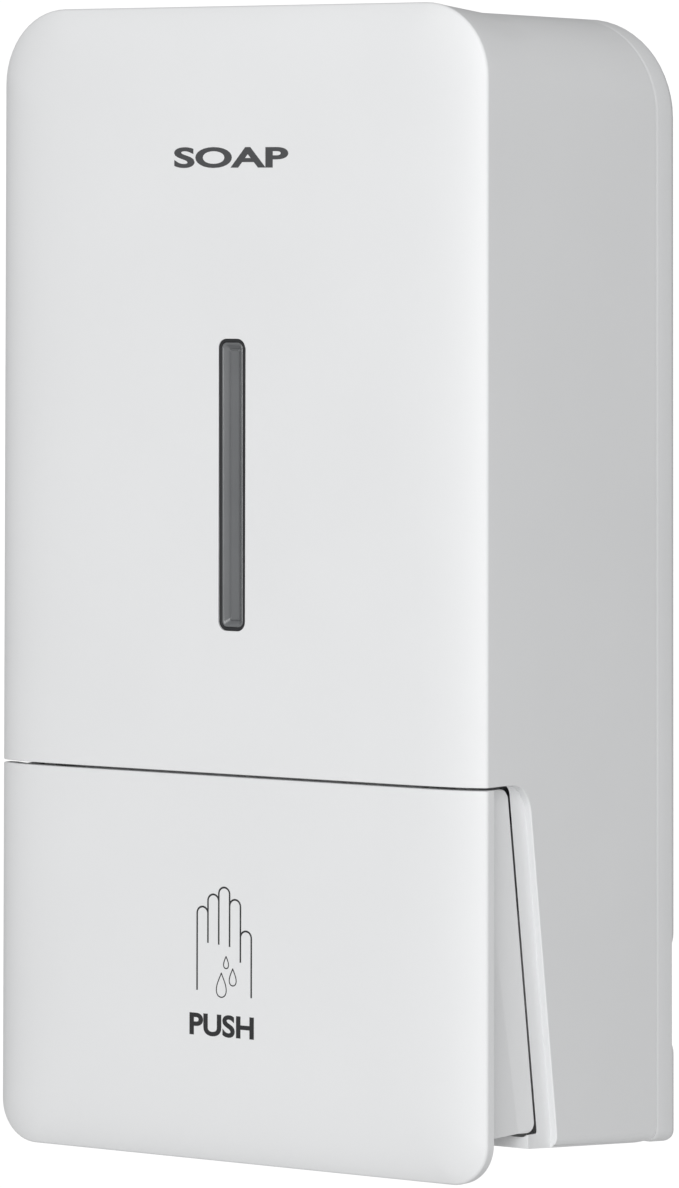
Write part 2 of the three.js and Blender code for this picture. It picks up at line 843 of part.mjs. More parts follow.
const cover = bodyGroup(dispenser, "cover");
add(cover, "front_cover", frontCover(), whiteShell);
add(cover, "window_gasket", windowGasket(), darkRubber);
add(cover, "window_lens", windowLens(), smokyLens);
add(cover, "window_retainer", windowRetainer(), whiteShell);
add(cover, "lever_axle", barX(AXLE_RADIUS, [-55.5, 55.5], PIVOT.y, PIVOT.z), steel);
add(cover, "lock_barrel", lockBarrel(), zincLock);
add(cover, "lock_nut", lockNut(), zincLock);
const bumper = barY(1.5, [-72.7, -69.7], 0, 0, 12);
SIDES.forEach(([side, sign]) => {
  add(cover, `stop_bumper_${side}`, bumper, darkRubber).position.set(sign * 30, 0, -41);
});

const lock = bodyGroup(cover, "lock");
add(lock, "lock_core", lockCore(), zincLock);
add(lock, "lock_cam", lockCam(), steel);
add(lock, "cam_screw", camScrew(), steel);

const lever = bodyGroup(cover, "lever");
add(lever, "push_panel", pushPanel(), whiteShell);
add(lever, "lever_fork", leverFork(), greyShell);
const forkScrew = screw(3.2, 1.4, 6);
const bush = cut(
  barX(BUSH.outer, [-2.4, 2.4], 0, 0),
  barX(BUSH.inner, [-3, 3], 0, 0),
);
SIDES.forEach(([side, sign]) => {
  add(lever, `fork_screw_${side}`, forkScrew, steel).position.set(
    sign * FORK.screwX,
    FORK.base + 6.1,
    FORK.screwZ,
  );
  add(lever, `lever_bush_${side}`, bush, whiteAcetal).position.set(sign * 47.9, PIVOT.y, PIVOT.z);
});

const piston = bodyGroup(dispenser, "piston");
add(piston, "pump_piston", pumpPiston(), whiteAcetal);
add(piston, "piston_seal", pistonSeal(), darkRubber);
add(piston, "outlet_valve", outletValve(), darkRubber);
add(piston, "nozzle_tip", nozzleTip(), whiteAcetal);

const lid = bodyGroup(dispenser, "lid");
add(lid, "reservoir_lid", reservoirLid(), clearTank);
add(lid, "lid_seal", lidSeal(), darkRubber);

export default dispenser;
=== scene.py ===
"""Wall mounted soap dispenser: the fine surfaces, finishes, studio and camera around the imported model.

Every size below is in millimetres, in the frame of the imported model: the wall is the plane Y = 0, the user
stands at -Y, +Z is up and the origin is the middle of the wall face. Meshes are built in millimetres and
brought to metres when a piece is finished.
"""

import logging
import math
from collections.abc import Callable, Iterable, Sequence
from dataclasses import dataclass, field
from enum import Enum
from itertools import pairwise

import bmesh
import bpy
from bmesh.types import BMEdge, BMesh
from mathutils import Matrix, Vector


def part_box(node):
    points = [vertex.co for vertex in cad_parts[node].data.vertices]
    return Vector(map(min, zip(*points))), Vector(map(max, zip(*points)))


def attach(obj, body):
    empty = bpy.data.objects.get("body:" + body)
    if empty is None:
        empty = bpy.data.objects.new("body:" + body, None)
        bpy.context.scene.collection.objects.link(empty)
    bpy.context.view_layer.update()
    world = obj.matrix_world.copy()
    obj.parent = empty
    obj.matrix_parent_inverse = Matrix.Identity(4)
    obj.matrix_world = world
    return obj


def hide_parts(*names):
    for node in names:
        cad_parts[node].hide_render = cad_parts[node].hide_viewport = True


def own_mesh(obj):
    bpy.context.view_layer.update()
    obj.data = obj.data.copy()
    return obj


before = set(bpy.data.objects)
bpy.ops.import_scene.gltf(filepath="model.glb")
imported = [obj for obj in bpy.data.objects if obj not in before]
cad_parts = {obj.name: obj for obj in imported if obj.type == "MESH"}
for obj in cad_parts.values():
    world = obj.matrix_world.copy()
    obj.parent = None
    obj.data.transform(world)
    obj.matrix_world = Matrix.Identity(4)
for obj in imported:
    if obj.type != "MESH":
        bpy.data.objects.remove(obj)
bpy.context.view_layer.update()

log = logging.getLogger("soap_dispenser")

MM = 0.001
FAR = 300.0  # longer than the object, for cutting tools
CORNER_STEPS = 14
SHARP_ANGLE = math.radians(34)
SOFTEN_ANGLE = math.radians(25)  # edges bent less than this are never rounded
MERGE = 1e-4  # points closer than this are one point
CARVED_MERGE = 1e-3  # the same, once a tool has been used
NEAR = 0.01  # how close to a plane a point counts as lying on it
HAIR = 0.02  # keeps faces from lying in one plane where solids meet

Profile = Sequence[tuple[float, float]]
Span = tuple[float, float]
Where = Callable[[BMEdge], bool]


class Axis(Enum):
    """The direction that a turned piece is turned about."""

    X = "X"
    Y = "Y"
    Z = "Z"


class Cut(Enum):
    """How a tool acts on a solid."""

    JOIN = "UNION"
    AWAY = "DIFFERENCE"
    KEEP = "INTERSECT"


class Body(Enum):
    """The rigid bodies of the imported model."""

    CASE = "case"
    COVER = "cover"
    LOCK = "lock"
    LEVER = "lever"
    PISTON = "piston"
    LID = "lid"


class Slot(Enum):
    """The record's material slots."""

    CASE = "case_plastic"
    TANK = "tank_plastic"
    WINDOW = "window_plastic"
    PUMP = "pump_plastic"
    RUBBER = "rubber"
    STEEL = "steel"
    ZINC = "zinc"


SIDES = (("left", -1), ("right", 1))


# ---------------------------------------------------------------- the frame's places, in millimetres


@dataclass(frozen=True)
class Place:
    """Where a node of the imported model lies."""

    low: Vector
    high: Vector

    @property
    def middle(self) -> Vector:
        """The middle of the node's box."""
        return (self.low + self.high) / 2


def place(node: str) -> Place:
    """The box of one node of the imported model.

    Args:
        node: the node's name.

    Returns:
        Its lowest and highest corner in millimetres.
    """
    low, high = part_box(node)
    return Place(low / MM, high / MM)


# ---------------------------------------------------------------- solids


def clean(bm: BMesh) -> BMesh:
    """Merges doubled points and turns every face outwards.

    Args:
        bm: a closed solid.

    Returns:
        The same solid.
    """
    bmesh.ops.remove_doubles(bm, verts=bm.verts[:], dist=MERGE)
    bmesh.ops.dissolve_degenerate(bm, edges=bm.edges[:], dist=MERGE)
    bmesh.ops.recalc_face_normals(bm, faces=bm.faces[:])
    return bm


def moved(bm: BMesh, matrix: Matrix) -> BMesh:
    """A solid moved by a matrix."""
    bmesh.ops.transform(bm, matrix=matrix, verts=bm.verts[:])
    return bm


def soften(bm: BMesh, width: float, where: Where = lambda edge: True, segments: int = 2) -> BMesh:
    """Rounds the sharp edges of a solid.

    Args:
        bm: the solid.
        width: how far the rounding reaches from the edge.
        where: which of the sharp edges are taken.
        segments: faces across the rounding.

    Returns:
        The same solid.
    """
    sharp = [e for e in bm.edges if len(e.link_faces) == 2 and e.calc_face_angle(0.0) > SOFTEN_ANGLE]
    bmesh.ops.bevel(
        bm,
        geom=[e for e in sharp if where(e)],
        offset=width,
        offset_type="OFFSET",
        segments=segments,
        profile=0.5,
        affect="EDGES",
        material=-1,
        clamp_overlap=False,
    )
    return bm


def block(x: Span, y: Span, z: Span, soft: float = 0.0) -> BMesh:
    """A box between two planes on each axis.

    Args:
        x: its two X planes, in either order.
        y: its two Y planes.
        z: its two Z planes.
        soft: the rounding of its edges.

    Returns:
        The box.
    """
    low = Vector(map(min, (x, y, z)))
    high = Vector(map(max, (x, y, z)))
    bm = bmesh.new()
    grown = Matrix.LocRotScale((low + high) / 2, None, high - low)
    bmesh.ops.create_cube(bm, size=1.0, matrix=grown)
    return soften(bm, soft) if soft else bm


def about(axis: Axis, centre: Vector) -> Matrix:
    """The matrix that takes a piece standing on Z to its own axis and place.

    Args:
        axis: the direction that the piece's +Z turns to.
        centre: the point that the piece's origin goes to.

    Returns:
        The matrix.
    """
    turns = {
        Axis.X: Matrix.Rotation(math.radians(90), 4, "Y"),
        Axis.Y: Matrix.Rotation(math.radians(-90), 4, "X"),
        Axis.Z: Matrix.Identity(4),
    }
    return Matrix.Translation(centre) @ turns[axis]


def bar(axis: Axis, radius: float, span: Span, centre: Vector, steps: int = 48) -> BMesh:
    """A plain round bar, for joining and cutting.

    Args:
        axis: the direction it runs in.
        radius: its radius.
        span: where it starts and ends, measured from its centre.
        centre: a point on its axis.
        steps: its number of sides.

    Returns:
        The bar.
    """
    bm = bmesh.new()
    shift = Matrix.Translation((0, 0, (span[0] + span[1]) / 2))
    bmesh.ops.create_cone(
        bm, cap_ends=True, segments=steps, radius1=radius, radius2=radius,
        depth=abs(span[1] - span[0]), matrix=about(axis, centre) @ shift,
    )
    return bm


def flat(points: Iterable[Vector]) -> BMesh:
    """One flat face through a few points.

    Args:
        points: its corners, in order.

    Returns:
        The face.
    """
    bm = bmesh.new()
    bm.faces.new([bm.verts.new(p) for p in points])
    return bm


def round_corner(bm: BMesh, corners: Sequence[int], radius: float, segments: int = 8) -> None:
    """Rounds corners of the only face in a mesh.

    Args:
        bm: the mesh.
        corners: the numbers of its vertices that are rounded.
        radius: the radius of the arc.
        segments: the number of chords along it.
    """
    bm.verts.ensure_lookup_table()
    bmesh.ops.bevel(
        bm, geom=[bm.verts[i] for i in corners], offset=radius, offset_type="OFFSET", segments=segments,
        profile=0.5, affect="VERTICES", material=-1, clamp_overlap=False,
    )


def extruded(bm: BMesh, way: Vector) -> BMesh:
    """The only face of a mesh, drawn out into a solid.

    Args:
        bm: the mesh with the face.
        way: how far and where the face is drawn.

    Returns:
        The solid.
    """
    grown = bmesh.ops.extrude_face_region(bm, geom=bm.faces[:])["geom"]
    bmesh.ops.translate(bm, vec=way, verts=[v for v in grown if isinstance(v, bmesh.types.BMVert)])
    return clean(bm)


def side_plate(outline: Profile, x: Span, corners: Sequence[int] = (), radius: float = 0.0) -> BMesh:
    """A plate cut to an outline in the Y-Z plane.

    Args:
        outline: its corners as (y, z).
        x: its two faces.
        corners: the numbers of the corners that are rounded.
        radius: the radius of those.

    Returns:
        The plate.
    """
    bm = flat(Vector((x[0], y, z)) for y, z in outline)
    if corners:
        round_corner(bm, corners, radius)
    return extruded(bm, Vector((x[1] - x[0], 0, 0)))


def turned(
    profile: Profile,
    centre: Vector,
    axis: Axis = Axis.Z,
    soft: float = 0.15,
    steps: int = 64,
) -> BMesh:
    """A piece turned on a lathe from its half section.

    Args:
        profile: corners of the half section as (radius, height).
        centre: the point of the axis that heights start from.
        axis: the direction of the axis.
        soft: the rounding of the corners that lie off the axis.
        steps: the number of sides.

    Returns:
        The closed piece.
    """
    bm = flat(Vector((radius, 0, height)) for radius, height in profile)
    off_axis = [i for i, (radius, _) in enumerate(profile) if radius > 0]
    if soft:
        round_corner(bm, off_axis, soft, segments=2)
    bmesh.ops.delete(bm, geom=bm.faces[:], context="FACES_ONLY")
    on_axis = [e for e in bm.edges if max(abs(v.co.x) for v in e.verts) < 1e-6]
    bmesh.ops.delete(bm, geom=on_axis, context="EDGES")
    bmesh.ops.spin(
        bm, geom=bm.verts[:] + bm.edges[:], cent=(0, 0, 0), axis=(0, 0, 1), dvec=(0, 0, 0),
        angle=math.tau, steps=steps, use_merge=True, use_duplicate=False,
    )
    return moved(clean(bm), about(axis, centre))


@dataclass(frozen=True)
class Outline:
    """A rounded rectangle that stands across the case at one depth."""

    y: float
    half: float
    low: float
    high: float
    low_radius: float
    high_radius: float
    middle: float = 0.0

    def add(self, bm: BMesh, steps: int) -> list[BMEdge]:
        """Adds the outline to a mesh that holds no face.

        Args:
            bm: the mesh.
            steps: the number of chords in each corner.

        Returns:
            Its edges.
        """
        left, right = self.middle - self.half, self.middle + self.half
        corners = [(left, self.low), (right, self.low), (right, self.high), (left, self.high)]
        verts = [bm.verts.new((x, self.y, z)) for x, z in corners]
        bm.faces.new(verts)
        for pair, radius in ((verts[:2], self.low_radius), (verts[2:], self.high_radius)):
            bmesh.ops.bevel(
                bm, geom=pair, offset=radius, offset_type="OFFSET", segments=steps, profile=0.5,
                affect="VERTICES", material=-1, clamp_overlap=False,
            )
        face = bm.faces[:][0]
        edges = face.edges[:]
        bmesh.ops.delete(bm, geom=[face], context="FACES_ONLY")
        return edges


def skin(bm: BMesh, rings: Iterable[list[BMEdge]]) -> None:
    """Fills a mesh with faces from each ring of edges to the next."""
    for ring, following in pairwise(rings):
        bmesh.ops.bridge_loops(bm, edges=ring + following)


def pour(part: BMesh, into: BMesh) -> None:
    """Adds a mesh to another one, and frees it.

    Args:
        part: the mesh that is used up.
        into: the mesh that takes it in.
    """
    mesh = bpy.data.meshes.new("part")
    part.to_mesh(mesh)
    part.free()
    into.from_mesh(mesh)
    bpy.data.meshes.remove(mesh)


def loft(outlines: Iterable[Outline], steps: int = CORNER_STEPS) -> BMesh:
    """A solid skinned over outlines in order, closed at both ends.

    Args:
        outlines: the outlines.
        steps: the number of chords in each corner.

    Returns:
        The solid.
    """
    bm = bmesh.new()
    rings = [outline.add(bm, steps) for outline in outlines]
    skin(bm, rings)
    for ring in (rings[0], rings[-1]):
        bmesh.ops.contextual_create(bm, geom=ring)
    return clean(bm)


def standing(bm: BMesh) -> BMesh:
    """A loft whose levels run along Y, stood up so that they run along Z."""
    swap = Matrix(((1, 0, 0, 0), (0, 0, 1, 0), (0, 1, 0, 0), (0, 0, 0, 1)))
    moved(bm, swap)
    bmesh.ops.recalc_face_normals(bm, faces=bm.faces[:])
    return bm


def as_object(bm: BMesh, name: str) -> bpy.types.Object:
    """Puts a mesh into the scene as an object, and frees it.

    Args:
        bm: the mesh.
        name: the object's name.

    Returns:
        The object.
    """
    mesh = bpy.data.meshes.new(name)
    bm.to_mesh(mesh)
    bm.free()
    made = bpy.data.objects.new(name, mesh)
    bpy.context.scene.collection.objects.link(made)
    return made


def mesh_of(source: bpy.types.Object) -> bpy.types.Mesh:
    """The mesh of an object with its modifiers, text or curve worked out."""
    graph = bpy.context.evaluated_depsgraph_get()
    return bpy.data.meshes.new_from_object(source.evaluated_get(graph))


def carved(base: BMesh, steps: Iterable[tuple[Cut, BMesh]]) -> BMesh:
    """A solid after tools have been joined to it or cut out of it.

    Args:
        base: the solid.
        steps: each tool with how it acts, in order.

    Returns:
        The result.
    """
    for cut, tool in steps:
        body, other = as_object(base, "body"), as_object(tool, "tool")
        modifier = body.modifiers.new(cut.name, "BOOLEAN")
        modifier.operation = cut.value
        modifier.solver = "EXACT"
        modifier.object = other
        base = bmesh.new()
        base.from_mesh(mesh_of(body))
        for used in (body, other):
            bpy.data.objects.remove(used)
        bmesh.ops.remove_doubles(base, verts=base.verts[:], dist=CARVED_MERGE)
        bmesh.ops.dissolve_degenerate(base, edges=base.edges[:], dist=CARVED_MERGE)
    return base


def flatten(bm: BMesh) -> BMesh:
    """Joins faces that lie in one plane."""
    bmesh.ops.dissolve_limit(
        bm, angle_limit=math.radians(0.1), use_dissolve_boundaries=False, verts=bm.verts[:], edges=bm.edges[:]
    )
    return bm


# ---------------------------------------------------------------- materials

Tree = bpy.types.ShaderNodeTree
Socket = bpy.types.NodeSocket


def linear(code: int) -> tuple[float, float, float, float]:
    """An sRGB colour as the shader wants it.

    Args:
        code: the colour as 0xRRGGBB.

    Returns:
        Its linear red, green and blue, with full alpha.
    """
    shares = [(code >> shift & 0xFF) / 255 for shift in (16, 8, 0)]
    red, green, blue = (s / 12.92 if s <= 0.04045 else ((s + 0.055) / 1.055) ** 2.4 for s in shares)
    return red, green, blue, 1.0


def per_mm(size: float) -> float:
    """The texture scale whose features are that many millimetres across, on Object coordinates."""
    return 1 / (size * MM)


def socket(sockets: Iterable[Socket], name: str) -> Socket | None:
    """The socket of that name which is in use, if there is one."""
    return next((s for s in sockets if s.name == name and s.enabled), None)


def node(tree: Tree, kind: str, settings: dict | None = None, links: dict | None = None) -> bpy.types.Node:
    """Adds a node with its settings and links.

    Args:
        tree: the material's node tree.
        kind: the node's type.
        settings: values of its input sockets or of its own properties, by name.
        links: the sockets that feed its inputs, by name.

    Returns:
        The node.
    """
    made = tree.nodes.new(kind)
    for name, value in (settings or {}).items():
        entry = socket(made.inputs, name)
        if entry:
            entry.default_value = value
        else:
            setattr(made, name, value)
    for name, source in (links or {}).items():
        tree.links.new(source, socket(made.inputs, name))
    return made


@dataclass(frozen=True)
class Finish:
    """A finish with a grain: the colour and gloss wander a little over the surface, and it is bumped."""

    name: str
    colour: int
    shade: int
    roughness: Span
    grain: float
    depth: float
    cloud: float
    stretch: tuple[float, float, float] = (1.0, 1.0, 1.0)
    shader: tuple[tuple[str, float], ...] = ()

    def material(self) -> bpy.types.Material:
        """The finish's material, made once.

        Returns:
            The material.
        """
        known = bpy.data.materials.get(self.name)
        if known:
            return known
        made = bpy.data.materials.new(self.name)
        made.use_nodes = True
        tree = made.node_tree
        tree.nodes.clear()
        place_on = node(tree, "ShaderNodeTexCoord").outputs["Object"]
        drawn = node(tree, "ShaderNodeMapping", {"Scale": self.stretch}, {"Vector": place_on})
        grain = node(
            tree, "ShaderNodeTexNoise", {"Scale": per_mm(self.grain), "Detail": 3.0, "Roughness": 0.6},
            {"Vector": drawn.outputs["Vector"]},
        ).outputs["Fac"]
        cloud = node(
            tree, "ShaderNodeTexNoise", {"Scale": per_mm(self.cloud), "Detail": 2.0}, {"Vector": place_on}
        ).outputs["Fac"]
        tones = {"data_type": "RGBA", "A": linear(self.colour), "B": linear(self.shade)}
        colour = node(tree, "ShaderNodeMix", tones, {"Factor": cloud})
        gloss = node(
            tree, "ShaderNodeMapRange", {"To Min": self.roughness[0], "To Max": self.roughness[1]},
            {"Value": grain},
        )
        bump = node(
            tree, "ShaderNodeBump", {"Distance": self.depth * MM, "Strength": 1.0}, {"Height": grain}
        )
        surface = node(
            tree, "ShaderNodeBsdfPrincipled", dict(self.shader),
            {
                "Base Color": socket(colour.outputs, "Result"),
                "Roughness": gloss.outputs["Result"],
                "Normal": bump.outputs["Normal"],
            },
        )
        node(tree, "ShaderNodeOutputMaterial", links={"Surface": surface.outputs["BSDF"]})
        return made


# ABS, injection moulded in a fine spark-eroded mould: an even satin white whose highlights stay broad
# and soft.
WHITE_ABS = Finish("moulded white ABS", 0xE9EAEB, 0xE4E5E6, (0.40, 0.48), 0.45, 0.006, 40.0)
# The same ABS on the wall plate, from another mould: a touch duller, so the parting line reads.
PLATE_ABS = Finish("moulded white ABS, wall plate", 0xE6E7E8, 0xE1E2E3, (0.44, 0.52), 0.45, 0.006, 40.0)
# Polyethylene, blow moulded: milky and waxy, light goes a little way through it.
NATURAL_PE = Finish(
    "natural polyethylene", 0xE8ECEC, 0xDDE3E4, (0.30, 0.42), 2.5, 0.03, 18.0,
    shader=(("Transmission Weight", 0.35), ("IOR", 1.51)),
)
# Polycarbonate with a smoke tint, polished: dark grey glass that shows a bright line on each fold.
SMOKED_PC = Finish(
    "smoked polycarbonate", 0x808284, 0x77797B, (0.14, 0.2), 3.0, 0.004, 12.0,
    shader=(("Transmission Weight", 0.25), ("IOR", 1.58)),
)
# Acetal, moulded: a dense, slightly warm white with a soft wax gloss.
WHITE_ACETAL = Finish(
    "white acetal", 0xF0EFE9, 0xE8E7E0, (0.30, 0.38), 0.8, 0.006, 15.0, shader=(("Subsurface Weight", 0.05),)
)
# EPDM rubber, moulded: nearly black and dull, with a fine bloom.
EPDM_RUBBER = Finish("EPDM rubber", 0x2A2B2D, 0x1F2022, (0.62, 0.78), 0.5, 0.02, 6.0)
# Stainless steel, drawn: fine lines along the length stretch its highlights. The lines are drawn
# 0.2 mm wide, which is coarser than the real ones, so that they show.
DRAWN_STEEL = Finish(
    "drawn stainless steel", 0xC3C5C8, 0xB4B6BA, (0.22, 0.36), 0.2, 0.004, 9.0, stretch=(0.08, 1.0, 1.0),
    shader=(("Metallic", 1.0),),
)
# Zinc, die cast and nickel plated: a bright, faintly rippled metal.
PLATED_ZINC = Finish(
    "nickel plated zinc", 0xCFCFCD, 0xBFC0BF, (0.16, 0.28), 1.2, 0.008, 7.0, shader=(("Metallic", 1.0),)
)
# Screen printing ink: a dark, flat film with a slightly uneven edge to its gloss.
DARK_INK = Finish("dark printing ink", 0x262729, 0x2B2C2E, (0.45, 0.6), 0.3, 0.002, 4.0)
# The same ink in a paler grey, for the word at the top.
GREY_INK = Finish("grey printing ink", 0x464749, 0x4B4C4E, (0.45, 0.6), 0.3, 0.002, 4.0)
# Matt painted board under the object.
WHITE_BOARD = Finish("matt white board", 0xF2F2F2, 0xEEEEEE, (0.85, 0.95), 4.0, 0.02, 200.0)


# ---------------------------------------------------------------- finished pieces


def finished(
    name: str,
    bm: BMesh,
    body: Body,
    finish: Finish,
    stands_for: Sequence[str] = (),
) -> bpy.types.Object:
    """Turns a solid in millimetres into a piece of the dispenser.

    Args:
        name: the piece's name.
        bm: its mesh, in millimetres.
        body: the body that it rides on.
        finish: its finish.
        stands_for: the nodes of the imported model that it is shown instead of.

    Returns:
        The piece.
    """
    piece = as_object(bm, name)
    mesh = piece.data
    mesh.transform(Matrix.Scale(MM, 4))
    mesh.polygons.foreach_set("use_smooth", [True] * len(mesh.polygons))
    mesh.set_sharp_from_angle(angle=SHARP_ANGLE)
    even = piece.modifiers.new("even shading", "WEIGHTED_NORMAL")
    even.keep_sharp = True
    mesh.materials.append(finish.material())
    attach(piece, body.value)
    if stands_for:
        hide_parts(*stands_for)
    log.info("%s: %d faces, rides on %s", name, len(mesh.polygons), body.value)
    return piece


def steel_pin(node_name: str, name: str, body: Body, radius: float, soft: float, steps: int = 40) -> None:
    """A plain steel pin with rounded ends, along X.

    Args:
        node_name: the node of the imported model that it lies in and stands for.
        name: the piece's name.
        body: the body that it rides on.
        radius: its radius.
        soft: the rounding of its ends.
        steps: its number of sides.
    """
    pin = place(node_name)
    half = (pin.high.x - pin.low.x) / 2
    profile = [(0, -half), (radius, -half), (radius, half), (0, half)]
    bm = turned(profile, pin.middle, Axis.X, soft, steps)
    finished(name, bm, body, DRAWN_STEEL, [node_name])


# ---------------------------------------------------------------- the case's shape


@dataclass(frozen=True)
class CaseShape:
    """The outlines that the cover, the push panel and the wall plate share."""

    height: float = 240.0
    half_width: float = 61.7
    depth: float = 72.6
    draft: float = 0.0083
    wall: float = 2.3
    skin: float = 2.4
    pillow: float = 3.0
    pillow_reach: float = 5.0
    rim_round: float = 0.9
    shoulder_y: float = -52.6
    shoulder_top: float = 118.4
    rear_top: float = 118.0
    rear_foot: float = -118.8
    foot_slope: float = 0.084
    front_radius: float = 15.4
    rear_radius: float = 21.0
    foot_radius: float = 2.4
    panel_foot_radius: float = 8.7
    corner_tightening: float = 0.35
    outer_distances: tuple[float, ...] = (1.3, 2.1, 3.1, 4.3, 5.8, 7.8, 10.5, 14.0, 18.0, 22.0)
    inner_distances: tuple[float, ...] = (0.0, 2.0, 4.5, 8.0, 13.0, 19.6)

    @property
    def half_height(self) -> float:
        """Half of the dispenser's height."""
        return self.height / 2

    def drafted(self, bm: BMesh, axes: Sequence[int] = (0, 1)) -> BMesh:
        """Applies the mould draft: wider and deeper towards the foot.

        Args:
            bm: a solid built on the mid-height outline.
            axes: the directions that grow, 0 for the width and 1 for the depth.

        Returns:
            The same solid.
        """
        for vert in bm.verts:
            growth = 1 - self.draft * vert.co.z / self.half_height
            for axis in axes:
                vert.co[axis] *= growth
        return bm

    def top(self, y: float) -> float:
        """The height of the case's top at depth y: it climbs to the rim over the front third."""
        if y < self.shoulder_y:
            share = (self.shoulder_y - y) / (self.depth + self.shoulder_y)
            return self.shoulder_top + share * (self.half_height - self.shoulder_top)
        return self.rear_top + y / self.shoulder_y * (self.shoulder_top - self.rear_top)

    def case(self, y: float, inset: float = 0.0) -> Outline:
        """The outline of the case at depth y, drawn in by inset."""
        share = min(1.0, max(0.0, -y / self.depth))
        radius = self.rear_radius + share * (self.front_radius - self.rear_radius)
        return Outline(
            y,
            self.half_width - inset,
            self.rear_foot - self.foot_slope * y + inset,
            self.top(y) - inset,
            max(self.foot_radius - inset, 1.7),
            radius - inset,
        )

    def rise(self, distance: float) -> float:
        """How far the pillowed front stands out at a distance from its rim."""
        return self.pillow * (1 - math.exp(-distance / self.pillow_reach))

    def front(self, y: float, inset: float, foot: float, foot_radius: float) -> Outline:
        """An outline of the front.

        Args:
            y: its depth.
            inset: how far it is drawn in from the rim.
            foot: the height of the rim's lower edge.
            foot_radius: the radius of the rim's lower corners.

        Returns:
            The outline.
        """
        tightened = self.corner_tightening * inset
        return Outline(
            y,
            self.half_width - inset,
            foot + inset,
            self.half_height - inset,
            max(foot_radius - tightened, 1.5),
            self.front_radius - tightened,
        )

    def outer_front(self, foot: float, foot_radius: float) -> list[Outline]:
        """The outlines of the front's outside, from its rounded rim to the middle."""
        start = 0.485 * self.rim_round
        centre = -self.depth - self.rise(start) + 0.857 * self.rim_round
        turns = [math.radians(a) for a in (0, 20, 40, 59)]
        rim = [
            (centre - self.rim_round * math.sin(a), self.rim_round * (1 - math.cos(a))) for a in turns
        ]
        face = [(-self.depth - self.rise(d), d) for d in self.outer_distances]
        return [self.front(y, inset, foot, foot_radius) for y, inset in rim + face]

    def inner_front(self, foot: float, foot_radius: float) -> list[Outline]:
        """The outlines of the front's inside, from the middle out to the wall."""
        back = -(self.depth - self.skin)
        return [
            self.front(back - self.rise(d), self.skin + d, foot, foot_radius)
            for d in reversed(self.inner_distances)
        ]


SHAPE = CaseShape()
PIVOT = Vector((0, -63.5, -44.0))
HINGE = Vector((0, -11.8, -114.8))
KNUCKLE_RADIUS = 2.45  # the cover hinge's knuckles, on the cover and on the wall plate
PUMP_Y = -38.0
LOCK_BORE = 5.8


def mirrored(make: Callable[[int], BMesh]) -> list[BMesh]:
    """The same tool or fitting on both sides."""
    return [make(side) for _, side in SIDES]


def joining(parts: Iterable[BMesh]) -> list[tuple[Cut, BMesh]]:
    """Carving steps that join parts."""
    return [(Cut.JOIN, part) for part in parts]


def removing(parts: Iterable[BMesh]) -> list[tuple[Cut, BMesh]]:
    """Carving steps that cut parts away."""
    return [(Cut.AWAY, part) for part in parts]


def keeping(parts: Iterable[BMesh]) -> list[tuple[Cut, BMesh]]:
    """Carving steps that keep only what lies inside."""
    return [(Cut.KEEP, part) for part in parts]


# ---------------------------------------------------------------- window


@dataclass
class Window:
    """The soap level window: a rubber frame, a smoked lens with a sunk face, and the plate that holds it."""

    half: float = 3.4
    low: float = -8.9
    high: float = 51.5
    radius: float = 2.0
    face: float = -75.25
    frame_width: float = 0.75
    sunk: float = 1.0
    slope: float = 1.45
    corner_steps: int = 8
    cut_depths: Span = (-90.0, -60.0)
    retainer_margin: float = 4.5

    def slot(self, y: float, inset: float = 0.0) -> Outline:
        """The window's outline at depth y, drawn in by inset."""
        corner = max(self.radius - inset, 0.5)
        return Outline(y, self.half - inset, self.low + inset, self.high - inset, corner, corner)

    def cutter(self) -> BMesh:
        """The tool that opens the slot through the front."""
        return loft([self.slot(y) for y in self.cut_depths], self.corner_steps)

    def build(self) -> None:
        """Builds the window's three pieces."""
        self.rubber_frame()
        self.lens()
        self.retainer()

    def rubber_frame(self) -> None:
        """The dark frame between the cover and the lens."""
        gasket = place("window_gasket")
        front, back = self.face - 0.12, gasket.high.y
        rings = [
            (back, 0.05), (front + 0.2, 0.05), (front, 0.22),
            (front, 0.52), (front + 0.2, 0.73), (back, 0.73),
        ]
        bm = bmesh.new()
        loops = [self.slot(y, inset).add(bm, self.corner_steps) for y, inset in rings]
        skin(bm, [*loops, loops[0]])
        finished("window_frame_seal", clean(bm), Body.COVER, EPDM_RUBBER, ["window_gasket"])

    def lens(self) -> None:
        """The lens: a flush rim, a sloping wall round it and a sunk face, on a flange behind the cover."""
        lens = place("window_lens")
        flange = lens.high.y - 1.4
        edge = self.frame_width + 0.03
        floor = self.face + self.sunk
        rings = [
            (lens.high.y, -2.0), (flange, -2.0), (flange, edge), (self.face + 0.1, edge),
            (self.face, edge + 0.12), (self.face, edge + 0.3), (self.face + 0.1, edge + 0.45),
            (floor, edge + self.slope - 0.12), (floor - 0.2, edge + self.slope),
            (floor - 0.2, edge + self.slope + 0.08), (floor, edge + self.slope + 0.2),
        ]
        shaped = loft([self.slot(y, inset) for y, inset in rings], self.corner_steps)
        finished("window_lens_smoked", shaped, Body.COVER, SMOKED_PC, ["window_lens"])

    def retainer(self) -> None:
        """The plate behind the lens."""
        held = place("window_retainer")
        faces = [self.slot(y, -self.retainer_margin) for y in (held.low.y, held.high.y)]
        plate = carved(loft(faces, self.corner_steps), removing([self.cutter()]))
        name = "window_retainer_plate"
        finished(name, soften(plate, 0.3), Body.COVER, WHITE_ABS, ["window_retainer"])


# ---------------------------------------------------------------- cover


